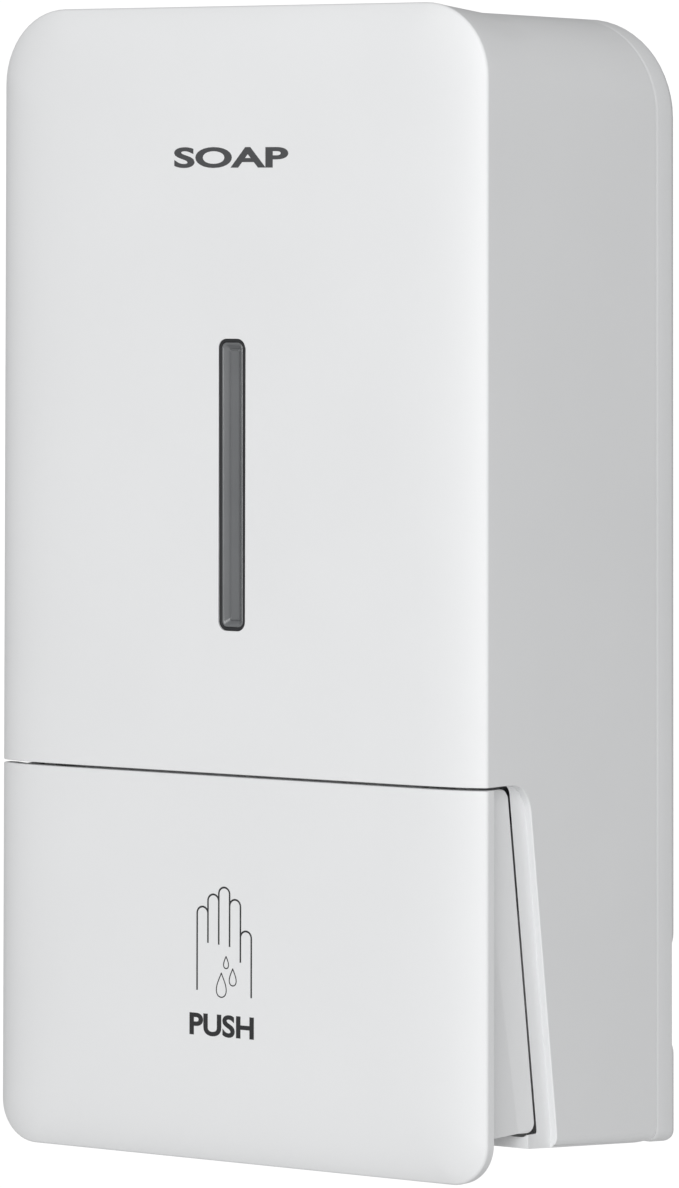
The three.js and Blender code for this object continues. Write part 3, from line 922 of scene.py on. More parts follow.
@dataclass
class Cover:
    """The hinged cover: one moulded shell with a slanted opening for the push panel."""

    seam: float = -38.62
    rear: float = -9.04
    opening_top: float = -61.6
    opening_foot_y: float = -51.4
    opening_foot: float = -111.4
    sill: float = -54.6
    ledge: Profile = ((59.4, -0.3), (59.95, 4.3), (63.3, 3.4))
    edge_round: float = 0.3
    parting_round: float = 0.12
    corner: float = 2.2
    axle_bore: float = 2.25
    pin_bore: float = 1.5
    knuckle_clear: float = 2.5
    case_depths: tuple[float, ...] = (-20.0, -34.0, -47.0, -52.6, -58.0, -65.0, -70.0)
    window: Window = field(default_factory=Window)

    def build(self) -> None:
        """Builds the cover and everything that is fixed to it."""
        self.shell()
        self.window.build()
        self.axle()
        self.bumpers()

    def bare_shell(self) -> BMesh:
        """The shell before its openings, from the inside of the front round to the outside."""
        foot = SHAPE.rear_foot + SHAPE.foot_slope * SHAPE.depth
        wall, soft = SHAPE.wall, self.parting_round
        inside = [SHAPE.case(y, wall) for y in reversed(self.case_depths)]
        rear = [
            SHAPE.case(self.rear - HAIR, wall),
            SHAPE.case(self.rear, soft),
            SHAPE.case(self.rear - soft * 0.3, soft * 0.3),
            SHAPE.case(self.rear - soft, 0.0),
        ]
        outside = [SHAPE.case(y) for y in self.case_depths]
        rings = [
            *SHAPE.inner_front(foot, SHAPE.foot_radius)[:-1],
            *inside, *rear, *outside,
            *SHAPE.outer_front(foot, SHAPE.foot_radius),
        ]
        return SHAPE.drafted(loft(rings))

    def opening(self) -> BMesh:
        """The tool for the push panel's opening, with a rounded upper corner."""
        outline = [
            (-FAR, self.seam), (self.opening_top, self.seam), (self.opening_foot_y, self.opening_foot),
            (self.sill, self.opening_foot), (self.sill, -FAR), (-FAR, -FAR),
        ]
        return side_plate(outline, (-FAR, FAR), [1], self.corner)

    def strip_cut(self, side: int) -> BMesh:
        """The tool that sinks a ledge along the opening on one side.

        Args:
            side: -1 on the left, 1 on the right.

        Returns:
            The tool: its outer wall is the short step from the ledge out to the side.
        """
        bm = bmesh.new()
        rings = []
        for x, shift in self.ledge:
            slanted = flat(
                Vector((side * x, y, z))
                for y, z in (
                    (-FAR, self.seam - HAIR),
                    (self.opening_top + shift, self.seam - HAIR),
                    (self.opening_foot_y + shift, self.opening_foot),
                    (self.opening_foot_y + shift, -FAR),
                    (-FAR, -FAR),
                )
            )
            round_corner(slanted, [1], self.corner + shift)
            known = set(bm.edges)
            pour(slanted, bm)
            rings.append([e for e in bm.edges if e not in known])
        middle = {e for ring in rings[1:-1] for e in ring}
        bmesh.ops.delete(bm, geom=[f for f in bm.faces if set(f.edges) <= middle], context="FACES_ONLY")
        skin(bm, rings)
        return SHAPE.drafted(clean(bm), [0])

    def fittings(self) -> list[BMesh]:
        """Ears for the axle, the ledge behind the seam, and the hinge bosses."""
        ears = [
            part
            for _, side in SIDES
            for part in (
                block((side * 51, side * 54.5), (-74.2, -58.5), (-38, -30), 0.4),
                block((side * 51.1, side * 54.4), (-68.5, -58.7), (PIVOT.z, -36), 0.4),
                bar(Axis.X, 5.0, (-1.8, 1.8), Vector((side * 52.75, PIVOT.y, PIVOT.z))),
            )
        ]
        ledge = [
            block((-44, 44), (-69.4, -67.4), (-42.5, -30), 0.4),
            block((-43.8, 43.8), (-74.2, -68), (-33, -30.2), 0.4),
        ]
        bosses = [
            part
            for _, side in SIDES
            for part in (
                bar(Axis.X, KNUCKLE_RADIUS, (-3.13, 3.13), Vector((side * 57.55, HINGE.y, HINGE.z))),
                block((side * 54.5, side * 60.6), (HINGE.y - 7, HINGE.y + 2.4), (HINGE.z, HINGE.z + 6)),
            )
        ]
        return [*ears, *ledge, *bosses]

    def holes(self) -> list[BMesh]:
        """Every opening besides the push panel's."""
        lock = place("lock_barrel").middle
        hinge_room = mirrored(
            lambda side: block((side * 49.6, side * 54.4), (-16.8, 1), (-FAR, HINGE.z + 7))
        )
        pins = mirrored(
            lambda side: bar(Axis.X, self.pin_bore, (-5, 5), Vector((side * 54.6, HINGE.y, HINGE.z)))
        )
        round_foot = carved(
            block((-FAR, FAR), (HINGE.y, 0), (-FAR, HINGE.z)),
            removing([bar(Axis.X, self.knuckle_clear, (-FAR - 5, FAR + 5), HINGE)]),
        )
        # The foot's rear edge is cut away to here, so that it clears the wall plate as the cover swings.
        swing_room = [(-11.7, -117.31), (-16, -117.6), (-16, -FAR), (-11.7, -FAR)]
        return [
            bar(Axis.X, self.axle_bore, (-56, 56), PIVOT),
            block((-24, 24), (self.sill - 1, -24), (-FAR, -105)),
            bar(Axis.Z, LOCK_BORE, (100, FAR), Vector((lock.x, lock.y, 0))),
            round_foot,
            side_plate(swing_room, (-FAR, FAR)),
            *hinge_room,
            *pins,
        ]

    def on_strip_edge(self, edge: BMEdge) -> bool:
        """Whether an edge is the outer edge of the slanted strip."""
        middle = (edge.verts[0].co + edge.verts[1].co) / 2
        outer = all(abs(v.co.x) > SHAPE.half_width - 0.3 for v in edge.verts)
        return outer and middle.z < self.seam - 0.4 and middle.y < -44

    def on_seam(self, edge: BMEdge) -> bool:
        """Whether an edge lies on the cover's lower edge in front."""
        return all(abs(v.co.z - self.seam) < NEAR and v.co.y < self.opening_top - 1 for v in edge.verts)

    def on_slot(self, edge: BMEdge) -> bool:
        """Whether an edge is the window slot's outer edge, up to where its top turns in."""
        return all(abs(v.co.x) < 4 and -14 < v.co.z < 50 and v.co.y < -74 for v in edge.verts)

    def shell(self) -> None:
        """The cover's shell."""
        steps = [
            *removing([self.opening(), *mirrored(self.strip_cut)]),
            *joining(self.fittings()),
            *removing([*self.holes(), self.window.cutter()]),
        ]
        bm = carved(flatten(self.bare_shell()), steps)
        soften(bm, self.edge_round, self.on_strip_edge, 4)
        soften(bm, 0.25, self.on_seam, 2)
        soften(bm, 0.15, self.on_slot, 2)
        finished("cover_shell", bm, Body.COVER, WHITE_ABS, ["front_cover"])

    def axle(self) -> None:
        """The steel rod that the push panel swings on."""
        steel_pin("lever_axle", "lever_axle_rod", Body.COVER, radius=2.0, soft=0.35, steps=64)

    def bumpers(self) -> None:
        """The two rubber stops that the push panel rests on."""
        for name, _ in SIDES:
            stop = place(f"stop_bumper_{name}")
            profile = [(0, -1.5), (1.3, -1.5), (1.5, 0), (1.5, 1.5), (0, 1.5)]
            bm = turned(profile, stop.middle, Axis.Y, soft=0.3, steps=32)
            finished(f"stop_{name}", bm, Body.COVER, EPDM_RUBBER, [f"stop_bumper_{name}"])


# ---------------------------------------------------------------- push panel and its lever


@dataclass
class PushPanel:
    """The push panel with its skirts, the fork that lifts the pump, its screws and bushes."""

    seam: float = -39.18
    skirt_outer: float = 59.2
    skirt_inner: float = 57.1
    skirt_top: float = -39.55
    skirt_foot: float = -111.0
    skirt_dip: float = 1.1
    crease_top: tuple[float, float] = (-68.1, -52.5)
    crease_foot: tuple[float, float] = (-58.5, -98.9)
    ear_span: Span = (46.1, 49.7)

    def build(self) -> None:
        """Builds everything that swings with the panel."""
        self.panel()
        self.fork()
        self.screws()
        self.bushes()

    def face(self) -> BMesh:
        """The pillowed panel itself."""
        foot, radius = -SHAPE.half_height, SHAPE.panel_foot_radius
        back = -(SHAPE.depth - SHAPE.skin)
        rim = SHAPE.front(back, 0.0, foot, radius)
        rings = [*SHAPE.inner_front(foot, radius), rim, *SHAPE.outer_front(foot, radius)]
        whole = SHAPE.drafted(loft(rings))
        return carved(whole, keeping([block((-FAR, FAR), (-FAR, FAR), (-FAR, self.seam))]))

    def skirt(self, side: int) -> BMesh:
        """One side skirt: its front part lies a little lower than the band along its rear edge."""
        top, foot = self.skirt_top, self.skirt_foot
        outline = [(-71.6, top), (-61.4, top), (-51.2, foot), (-71.6, foot)]
        bm = flat(Vector((side * self.skirt_inner, y, z)) for y, z in outline)
        round_corner(bm, [1, 2], 2.4)
        width = self.skirt_outer - self.skirt_inner
        extruded(bm, Vector((side * width, 0, 0)))
        (y0, z0), (y1, z1) = self.crease_top, self.crease_foot
        along = Vector((0, y1 - y0, z1 - z0)).normalized()
        across = Vector((0, -along.z, along.y))
        origin = Vector((0, y0, z0))
        bmesh.ops.bisect_plane(
            bm, geom=bm.verts[:] + bm.edges[:] + bm.faces[:], dist=MERGE, plane_co=origin, plane_no=across
        )
        for vert in bm.verts:
            if abs(vert.co.x) > self.skirt_outer - NEAR and (vert.co - origin).dot(across) < NEAR:
                vert.co.x -= side * self.skirt_dip
        on_crease = {
            v for v in bm.verts
            if abs((v.co - origin).dot(across)) < NEAR and abs(v.co.x) > self.skirt_inner + 0.5
        }
        crease = [e for e in bm.edges if on_crease.issuperset(e.verts)]
        bmesh.ops.bevel(
            bm, geom=crease, offset=0.25, offset_type="OFFSET", segments=1, profile=0.5, affect="EDGES",
            material=-1, clamp_overlap=False,
        )
        rear = self.skirt_outer - 0.6
        soften(bm, 0.35, lambda e: all(abs(v.co.x) > rear and v.co.y > -71 for v in e.verts), 3)
        return SHAPE.drafted(bm)

    def panel(self) -> None:
        """The panel with skirts, ears and screw bosses."""
        ears = [
            part
            for _, side in SIDES
            for part in (
                bar(Axis.X, 5.4, (-1.9, 1.9), Vector((side * 47.9, PIVOT.y, PIVOT.z))),
                block(
                    (side * self.ear_span[0], side * self.ear_span[1]), (-74, PIVOT.y),
                    (PIVOT.z - 5.3, PIVOT.z + 4), 0.3,
                ),
            )
        ]
        screws = [place(f"fork_screw_{name}").middle for name, _ in SIDES]
        bosses = [bar(Axis.Y, 4.0, (-74.6, -69.0), Vector((s.x, 0, s.z))) for s in screws]
        bores = [bar(Axis.Y, 1.6, (-73.4, -60.0), Vector((s.x, 0, s.z))) for s in screws]
        bm = carved(
            self.face(),
            [
                *joining([*mirrored(self.skirt), *ears, *bosses]),
                *removing([bar(Axis.X, 3.7, (-56.5, 56.5), PIVOT), *bores]),
            ],
        )
        soften(bm, 0.25, self.on_seam, 2)
        finished("push_panel_shell", bm, Body.LEVER, WHITE_ABS, ["push_panel"])

    def on_seam(self, edge: BMEdge) -> bool:
        """Whether an edge lies on the panel's upper edge."""
        return all(abs(v.co.z - self.seam) < NEAR for v in edge.verts)

    def fork(self) -> None:
        """The fork: a screwed plate and two arms either side of the pump's stem."""
        fork = place("lever_fork")
        screw = place("fork_screw_right").middle
        plate_front, plate_back = fork.low.y, fork.low.y + 2.6
        foot, top = -101.5, -97.0
        radius = (top - foot) / 2
        tip = fork.high.y - radius
        parts = []
        for _, side in SIDES:
            parts += [
                block((side * 6, side * 11), (plate_back - 1, tip), (foot, top), 0.4),
                bar(Axis.X, radius - 0.05, (-2.4, 2.4), Vector((side * 8.5, tip, foot + radius))),
                side_plate(
                    [(plate_back - 1, -91), (plate_back - 1, foot + 1), (plate_back + 12, foot + 1)],
                    (side * 7.5, side * 9.5),
                ),
            ]
        plate = block((fork.low.x, fork.high.x), (plate_front, plate_back), (fork.low.z, fork.high.z), 0.6)
        holes = [bar(Axis.Y, 1.75, (-80, -60), Vector((side * screw.x, 0, screw.z))) for _, side in SIDES]
        bm = carved(plate, [*joining(parts), *removing(holes)])
        finished("pump_fork", bm, Body.LEVER, WHITE_ACETAL, ["lever_fork"])

    def screws(self) -> None:
        """Two pan-head screws, with their heads to the wall."""
        for name, _ in SIDES:
            node_name = f"fork_screw_{name}"
            screw = place(node_name)
            head = screw.high.y - 1.8
            centre = Vector((screw.middle.x, head, screw.middle.z))
            length = head - screw.low.y
            profile = [
                (0, -length), (1.0, -length), (1.4, -length + 1), (1.4, 0),
                (3.2, 0), (3.2, 0.9), (2.3, 1.8), (0, 1.8),
            ]
            turned_screw = turned(profile, centre, Axis.Y, soft=0.12, steps=40)
            cross = [
                block((centre.x - a, centre.x + a), (head + 0.9, head + 3), (centre.z - b, centre.z + b))
                for a, b in ((1.7, 0.35), (0.35, 1.7))
            ]
            bm = carved(turned_screw, removing(cross))
            finished(f"cross_screw_{name}", bm, Body.LEVER, DRAWN_STEEL, [node_name])

    def bushes(self) -> None:
        """The two bushes between the axle and the panel's ears."""
        for name, _ in SIDES:
            node_name = f"lever_bush_{name}"
            bush = place(node_name)
            half = (bush.high.x - bush.low.x) / 2
            profile = [(2.3, -half), (3.4, -half), (3.4, half), (2.3, half)]
            bm = turned(profile, bush.middle, Axis.X, soft=0.2)
            finished(f"axle_bush_{name}", bm, Body.LEVER, WHITE_ACETAL, [node_name])


# ---------------------------------------------------------------- wall plate


@dataclass
class WallPlate:
    """The tray that is screwed to the wall, with the shelf for tank and pump, and the cover's hinge lugs."""

    front: float = -9.0
    base: float = 2.5
    edge_round: float = 1.0
    rear_round: float = 3.3
    round_steps: int = 8
    slot_radius: float = 1.95
    slot_reach: float = 4.0
    pin_bore: float = 1.35

    def build(self) -> None:
        """Builds the plate, the lock's keeper and the hinge pins."""
        self.tray()
        self.keeper()
        self.pins()

    def bare_tray(self) -> BMesh:
        """The tray, from its floor out over the front edge and round to the wall."""
        wall, soft, radius = SHAPE.wall, self.edge_round, self.rear_round
        turns = [math.pi / 2 * i / self.round_steps for i in range(self.round_steps + 1)]
        rings = [
            SHAPE.case(-self.base, wall + 1.2),
            SHAPE.case(-self.base - 0.4, wall + 0.4),
            SHAPE.case(-self.base - 1.2, wall),
            SHAPE.case(self.front + 0.3, wall),
            SHAPE.case(self.front + HAIR, wall - 0.3),
            SHAPE.case(self.front, soft),
            SHAPE.case(self.front + soft * 0.3, soft * 0.3),
            SHAPE.case(self.front + soft, 0.0),
            *(SHAPE.case(-radius * (1 - math.sin(a)), radius * (1 - math.cos(a))) for a in turns),
        ]
        return SHAPE.drafted(loft(rings))

    def screw_slot(self, x: float, z: float) -> list[BMesh]:
        """The tools for one wall screw slot."""
        ends = [
            bar(Axis.Y, self.slot_radius, (-6, 1), Vector((x, 0, z + way * self.slot_reach)), 32)
            for way in (-1, 1)
        ]
        radius = self.slot_radius
        return [block((x - radius, x + radius), (-6, 1), (z - self.slot_reach, z + self.slot_reach)), *ends]

    def fittings(self) -> list[BMesh]:
        """The shelf on its gussets, the tank's guides and the hinge lugs."""
        parts = [block((-28, 28), (-54, -1.2), (-55, -52.5), 0.4)]
        for _, side in SIDES:
            lug = Vector((side * 52, HINGE.y, HINGE.z))
            parts += [
                side_plate([(-1.4, -54), (-1.4, -75), (-3.5, -75), (-42, -54)], (side * 25, side * 27.9)),
                block((side * 53, side * 55), (-19, -1), (-10, 62), 0.4),
                block((side * 50, side * 54), (HINGE.y, -1.6), (HINGE.z - 2.4, HINGE.z + 6)),
                bar(Axis.X, KNUCKLE_RADIUS, (-1.95, 1.95), lug),
            ]
        return parts

    def holes(self) -> list[BMesh]:
        """The screw slots, the shelf's hole, the pin bores and the relief in the rear edge."""
        slots = [
            tool
            for _, side in SIDES
            for z in (72, -84)
            for tool in self.screw_slot(side * 36, z)
        ]
        pump = place("pump_cylinder").middle
        relief = [(1, -102), (0, -102), (-2.9, -98), (-2.9, -76.4), (0, -72.4), (1, -72.4)]
        notches = mirrored(lambda side: side_plate(relief, (side * 59.7, side * 64.7)))
        pins = mirrored(
            lambda side: bar(Axis.X, self.pin_bore, (-5, 5), Vector((side * 52, HINGE.y, HINGE.z)))
        )
        return [*slots, bar(Axis.Z, 10.6, (-60, -50), Vector((0, pump.y, 0))), *notches, *pins]

    def tray(self) -> None:
        """The finished tray."""
        bm = carved(flatten(self.bare_tray()), [*joining(self.fittings()), *removing(self.holes())])
        finished("wall_plate_tray", bm, Body.CASE, PLATE_ABS, ["wall_plate"])

    def keeper(self) -> None:
        """The bent steel hook that the lock's cam turns in behind."""
        hook = place("lock_keeper")
        arm = (hook.low.x + 3, hook.high.x - 3)
        wide, tall = (hook.low.x, hook.high.x), (hook.low.z, hook.high.z)
        bm = carved(
            block(wide, (hook.high.y - 1.5, hook.high.y), tall, 0.3),
            joining([
                block(arm, (hook.low.y + 0.1, hook.high.y - 1), (96, 100), 0.3),
                block((arm[0] + 0.05, arm[1] - 0.05), (hook.low.y, hook.low.y + 3), (96.1, 106), 0.3),
            ]),
        )
        finished("keeper_hook", bm, Body.CASE, DRAWN_STEEL, ["lock_keeper"])

    def pins(self) -> None:
        """The cover's two hinge pins."""
        for name, _ in SIDES:
            steel_pin(f"cover_hinge_pin_{name}", f"hinge_pin_{name}", Body.CASE, radius=1.2, soft=0.3)


# ---------------------------------------------------------------- tank


@dataclass
class Tank:
    """The soap tank with its hinged lid."""

    half: float = 52.0
    rear: float = -7.5
    front: float = -57.5
    top: float = 86.0
    waist: float = -34.0
    foot: float = -52.0
    radius: float = 8.0
    wall: float = 2.0
    edge: float = 3.0
    pump_y: float = PUMP_Y
    mouth_half: float = 19.0
    mouth_front: float = -50.0
    mouth_rear: float = -32.5
    neck_radius: float = 10.0
    neck_bore: float = 7.0
    knuckle: float = 2.0
    pin_bore: float = 1.3

    def build(self) -> None:
        """Builds the tank, the lid, its seal and its pin."""
        self.body()
        self.lid()
        self.seal()
        self.pin()

    def level(self, z: float, inset: float, hopper: float = 0.0) -> Outline:
        """The tank's outline at one height.

        Args:
            z: the height.
            inset: how far the outline is drawn in.
            hopper: 0 at the full width, 1 at the hopper's foot.

        Returns:
            The outline, with its levels along Y.
        """
        half = self.half + hopper * (15 - self.half) - inset
        front = self.front + hopper * (self.pump_y - 15 - self.front) + inset
        rear = self.rear + hopper * (self.pump_y + 15 - self.rear) - inset
        corner = max(self.radius - inset * 0.6, 2.0)
        return Outline(z, half, front, rear, corner, corner)

    def hollow(self, inset: float) -> BMesh:
        """The tank's outer or inner form."""
        edge = self.edge
        turns = [math.radians(a) for a in (0, 22, 45, 67, 90)]
        top = self.top - inset
        rounded = [
            self.level(top - edge * (1 - math.sin(a)), inset + edge * (1 - math.cos(a))) for a in turns
        ]
        rings = [
            self.level(self.foot + inset, inset, 1.0),
            self.level(self.waist - 4 + inset / 2, inset, 0.2),
            self.level(self.waist + inset / 2, inset, 0.05),
            self.level(self.waist + 3 + inset / 2, inset, 0.0),
            *rounded,
        ]
        return standing(loft(rings, 10))

    def body(self) -> None:
        """The tank: a hollow body, the neck that the collar nut grips, and the mouth with its hinge lugs."""
        pin = place("lid_hinge_pin").middle
        axis = Vector((0, self.pump_y, 0))
        half, front, rear = self.mouth_half, self.mouth_front, self.mouth_rear
        collar = block((-half - 2, half + 2), (front - 2, rear + 1.6), (self.top - 1, self.top + 2), 0.3)
        lugs = [
            part
            for _, side in SIDES
            for part in (
                block((side * 19, side * 22), (pin.y - 2, pin.y + 2), (self.top - 1, pin.z)),
                bar(Axis.X, self.knuckle, (-1.45, 1.45), Vector((side * 20.5, pin.y, pin.z))),
            )
        ]
        neck = bar(Axis.Z, self.neck_radius, (-64, self.foot + 1), axis, 64)
        ridge = [(9.5, -62), (10.36, -61.4), (10.36, -61), (9.5, -60.4)]
        threads = [turned([(r, z + 3 * i) for r, z in ridge], axis, soft=0.1) for i in range(3)]
        bm = carved(
            self.hollow(0.0),
            [
                *joining([neck, collar, *lugs]),
                *removing([
                    self.hollow(self.wall),
                    bar(Axis.Z, self.neck_bore, (-66, self.foot + 4), axis, 64),
                    block((-half, half), (front, rear), (self.top - 5, FAR), 0.5),
                    bar(Axis.X, self.pin_bore, (-24, 24), pin, 32),
                ]),
                *joining(threads),
            ],
        )
        finished("soap_tank", bm, Body.CASE, NATURAL_PE, ["reservoir"])

    def lid(self) -> None:
        """The lid with its pull and its hinge knuckle."""
        pin = place("lid_hinge_pin").middle
        lid = place("reservoir_lid")
        low = self.top + 2.4
        half, front, rear = self.mouth_half, self.mouth_front, self.mouth_rear
        plate = block((-half - 2.6, half + 2.6), (front - 2.6, rear + 1), (low, low + 2), 0.5)
        parts = [
            block((-6, 6), (lid.low.y, front - 2), (low, low + 1.4), 0.4),
            block((-14, 14), (rear, pin.y), (low, low + 2)),
            bar(Axis.X, self.knuckle, (-18.4, 18.4), pin),
            block((-half + 1, half - 1), (front + 1, rear - 1), (low + 1.6, low + 2.4), 0.3),
        ]
        bm = carved(plate, [*joining(parts), *removing([bar(Axis.X, self.pin_bore, (-24, 24), pin, 32)])])
        finished("tank_lid", bm, Body.LID, NATURAL_PE, ["reservoir_lid"])

    def seal(self) -> None:
        """The lid's flat rubber ring."""
        seal = place("lid_seal")
        spans = [(seal.low[i], seal.high[i]) for i in range(3)]
        ring = block(*spans, 0.2)
        inner = [(low + 2, high - 2) for low, high in spans[:2]]
        bm = carved(ring, removing([block(*inner, (80, 95))]))
        finished("lid_seal_ring", bm, Body.LID, EPDM_RUBBER, ["lid_seal"])

    def pin(self) -> None:
        """The lid's hinge pin."""
        steel_pin("lid_hinge_pin", "lid_pin", Body.CASE, radius=1.0, soft=0.25)


# ---------------------------------------------------------------- pump


@dataclass(frozen=True)
class PumpPart:
    """A turned piece of the pump, as a half section with heights in the frame."""

    node: str
    name: str
    body: Body
    slot: Slot
    finish: Finish
    profile: Profile
    soft: float = 0.15


@dataclass
class Pump:
    """The lift pump: cylinder, collar nut, valves, spring, piston and nozzle, all on one upright axis."""

    y: float = PUMP_Y
    grip_count: int = 30
    spring_radius: float = 12.7
    spring_wire: float = 0.65
    spring_turns: int = 5

    @property
    def axis(self) -> Vector:
        """The foot of the pump's axis."""
        return Vector((0, self.y, 0))

    def build(self) -> None:
        """Builds the pump."""
        for part in self.parts():
            bm = turned(part.profile, self.axis, Axis.Z, part.soft)
            finished(part.name, bm, part.body, part.finish, [part.node])
        self.collar()
        self.spring()

    def parts(self) -> list[PumpPart]:
        """The plain turned pieces."""
        plastic = (Slot.PUMP, WHITE_ACETAL)
        rubber = (Slot.RUBBER, EPDM_RUBBER)
        return [
            PumpPart("pump_cylinder", "pump_barrel", Body.CASE, *plastic, [
                (11, -86), (11, -68), (12.5, -68), (12.5, -65.3),
                (3, -65.3), (3, -67.8), (8.5, -67.8), (8.5, -86),
            ], 0.25),
            PumpPart("inlet_valve", "inlet_umbrella", Body.CASE, *rubber, [
                (0, -69.2), (4.6, -68.6), (4.6, -68.2), (1.4, -68.2), (1.4, -63.6), (0, -63.2),
            ], 0.1),
            PumpPart("port_gasket", "port_seal", Body.CASE, *rubber, [
                (7.3, -65), (9.9, -65), (9.9, -64.4), (7.3, -64.4),
            ], 0.15),
            PumpPart("pump_piston", "piston_rod", Body.PISTON, *plastic, [
                (1.8, -77.6), (1.8, -105), (3.3, -105), (3.3, -108), (4.6, -108), (4.6, -98.5),
                (5.4, -96.5), (14.2, -96.5), (14.2, -94), (4.6, -94), (4.6, -82), (7.9, -82),
                (7.9, -81), (6, -81), (6, -79), (7.9, -79), (7.9, -77.6),
            ], 0.2),
            PumpPart("piston_seal", "piston_ring", Body.PISTON, *rubber, [
                (6.3, -80.7), (8.2, -80.7), (8.2, -79.3), (6.3, -79.3),
            ], 0.35),
            PumpPart("outlet_valve", "outlet_lips", Body.PISTON, *rubber, [
                (0.5, -107.6), (3, -107.6), (3, -105.4), (0.5, -105.4),
            ], 0.1),
            PumpPart("nozzle_tip", "nozzle", Body.PISTON, *plastic, [
                (1.5, -118), (3.2, -118), (4.6, -112), (4.6, -108.4), (1.5, -108.4),
            ], 0.3),
        ]

    def collar(self) -> None:
        """The collar nut, with flutes for the fingers."""
        profile = [
            (15, -71), (16, -70), (16, -58), (15, -57), (10.4, -57), (10.4, -64.9),
            (12.9, -64.9), (12.9, -68.4), (11.4, -68.4), (11.4, -71),
        ]
        ring = turned(profile, self.axis, soft=0.2, steps=120)
        flutes = []
        for i in range(self.grip_count):
            turn = math.tau * i / self.grip_count
            spot = self.axis + Vector((math.cos(turn), math.sin(turn), 0)) * 16.5
            flutes.append(bar(Axis.Z, 1.0, (-72, -60), spot, 12))
        bm = carved(ring, removing([joined_meshes(flutes)]))
        finished("collar_nut_fluted", bm, Body.CASE, WHITE_ACETAL, ["collar_nut"])

    def spring(self) -> None:
        """The return spring: round wire, wound at one even pitch from end to end."""
        coil = place("pump_spring")
        low, high = coil.low.z + self.spring_wire, coil.high.z - self.spring_wire
        curve = bpy.data.curves.new("spring wire", "CURVE")
        curve.dimensions = "3D"
        curve.bevel_depth = self.spring_wire
        curve.bevel_resolution = 4
        curve.use_fill_caps = True
        wire = curve.splines.new("POLY")
        count = self.spring_turns * 40
        wire.points.add(count)
        for i, point in enumerate(wire.points):
            share = i / count
            turn = math.tau * self.spring_turns * share
            point.co = (
                self.spring_radius * math.cos(turn), self.y + self.spring_radius * math.sin(turn),
                low + (high - low) * share, 1,
            )
        bm = solid_of_curve(curve)
        piece = finished("return_spring", bm, Body.CASE, DRAWN_STEEL, ["pump_spring"])
        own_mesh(piece)


def joined_meshes(parts: Sequence[BMesh]) -> BMesh:
    """Separate solids in one mesh.

    Args:
        parts: the solids, which are used up.

    Returns:
        The mesh.
    """
    whole = bmesh.new()
    for part in parts:
        pour(part, whole)
    return whole


def solid_of_curve(curve: bpy.types.Curve) -> BMesh:
    """A curve's mesh, with its loose ends closed.

    Args:
        curve: the curve, which is used up.

    Returns:
        The mesh.
    """
    drawn = bpy.data.objects.new(curve.name, curve)
    bpy.context.scene.collection.objects.link(drawn)
    bm = bmesh.new()
    bm.from_mesh(mesh_of(drawn))
    bpy.data.objects.remove(drawn)
    return clean(bm)


# ---------------------------------------------------------------- lock


@dataclass
class Lock:
    """The key lock in the cover's top."""

    core_radius: float = 3.9
    key_slot: Span = (5.2, 1.2)

    @property
    def axis(self) -> Vector:
        """The lock's axis, at the height of the origin."""
        barrel = place("lock_barrel").middle
        return Vector((barrel.x, barrel.y, 0))

    def build(self) -> None:
        """Builds the barrel, its nut, the core, the cam and the cam's screw."""
        self.barrel()
        self.nut()
        self.core()
        self.cam()
        self.screw()

    def barrel(self) -> None:
        """The barrel with its domed flange."""
        profile = [(4.2, 104.4), (5.5, 104.4), (5.5, 118.4), (7.5, 118.4), (7.0, 119.6), (4.2, 119.6)]
        bm = turned(profile, self.axis, soft=0.25, steps=80)
        finished("lock_body", bm, Body.COVER, PLATED_ZINC, ["lock_barrel"])

    def nut(self) -> None:
        """The thin hexagon nut under the cover's top."""
        nut = place("lock_nut")
        span = (nut.low.z, nut.high.z)
        bm = carved(
            soften(bar(Axis.Z, 8.0, span, self.axis, 6), 0.3),
            removing([bar(Axis.Z, LOCK_BORE, (100, 125), self.axis)]),
        )
        finished("lock_hex_nut", bm, Body.COVER, PLATED_ZINC, ["lock_nut"])

    def core(self) -> None:
        """The core with its key slot."""
        radius, (long, wide) = self.core_radius, self.key_slot
        plug = turned([(0, 104), (radius, 104), (radius, 119.2), (0, 119.2)], self.axis, soft=0.25)
        across = (self.axis.y - wide / 2, self.axis.y + wide / 2)
        slot = block((-long / 2, long / 2), across, (114, FAR), 0.1)
        bore = bar(Axis.Z, 1.3, (100, 108), self.axis, 24)
        bm = carved(plug, removing([slot, bore]))
        finished("key_core", bm, Body.LOCK, PLATED_ZINC, ["lock_core"])

    def cam(self) -> None:
        """The cam on the core's foot."""
        cam = place("lock_cam")
        span = (cam.low.z, cam.high.z)
        arm = block((-3.5, 3.5), (self.axis.y, cam.high.y), span, 0.3)
        bm = carved(
            arm,
            [
                *joining([bar(Axis.Z, 5.0, (span[0] - HAIR, span[1] + HAIR), self.axis)]),
                *removing([bar(Axis.Z, 1.7, (100, 105), self.axis, 24)]),
            ],
        )
        finished("cam_arm", bm, Body.LOCK, DRAWN_STEEL, ["lock_cam"])

    def screw(self) -> None:
        """The cam's screw, with its head down."""
        profile = [(0, 107), (1.0, 107), (1.0, 101.3), (2.8, 101.3), (2.8, 100.4), (2.2, 99.8), (0, 99.8)]
        head = turned(profile, self.axis, soft=0.1, steps=40)
        slot = block((-3, 3), (self.axis.y - 0.4, self.axis.y + 0.4), (98, 100.5))
        bm = carved(head, removing([slot]))
        finished("cam_fixing_screw", bm, Body.LOCK, DRAWN_STEEL, ["cam_screw"])


# ---------------------------------------------------------------- printing


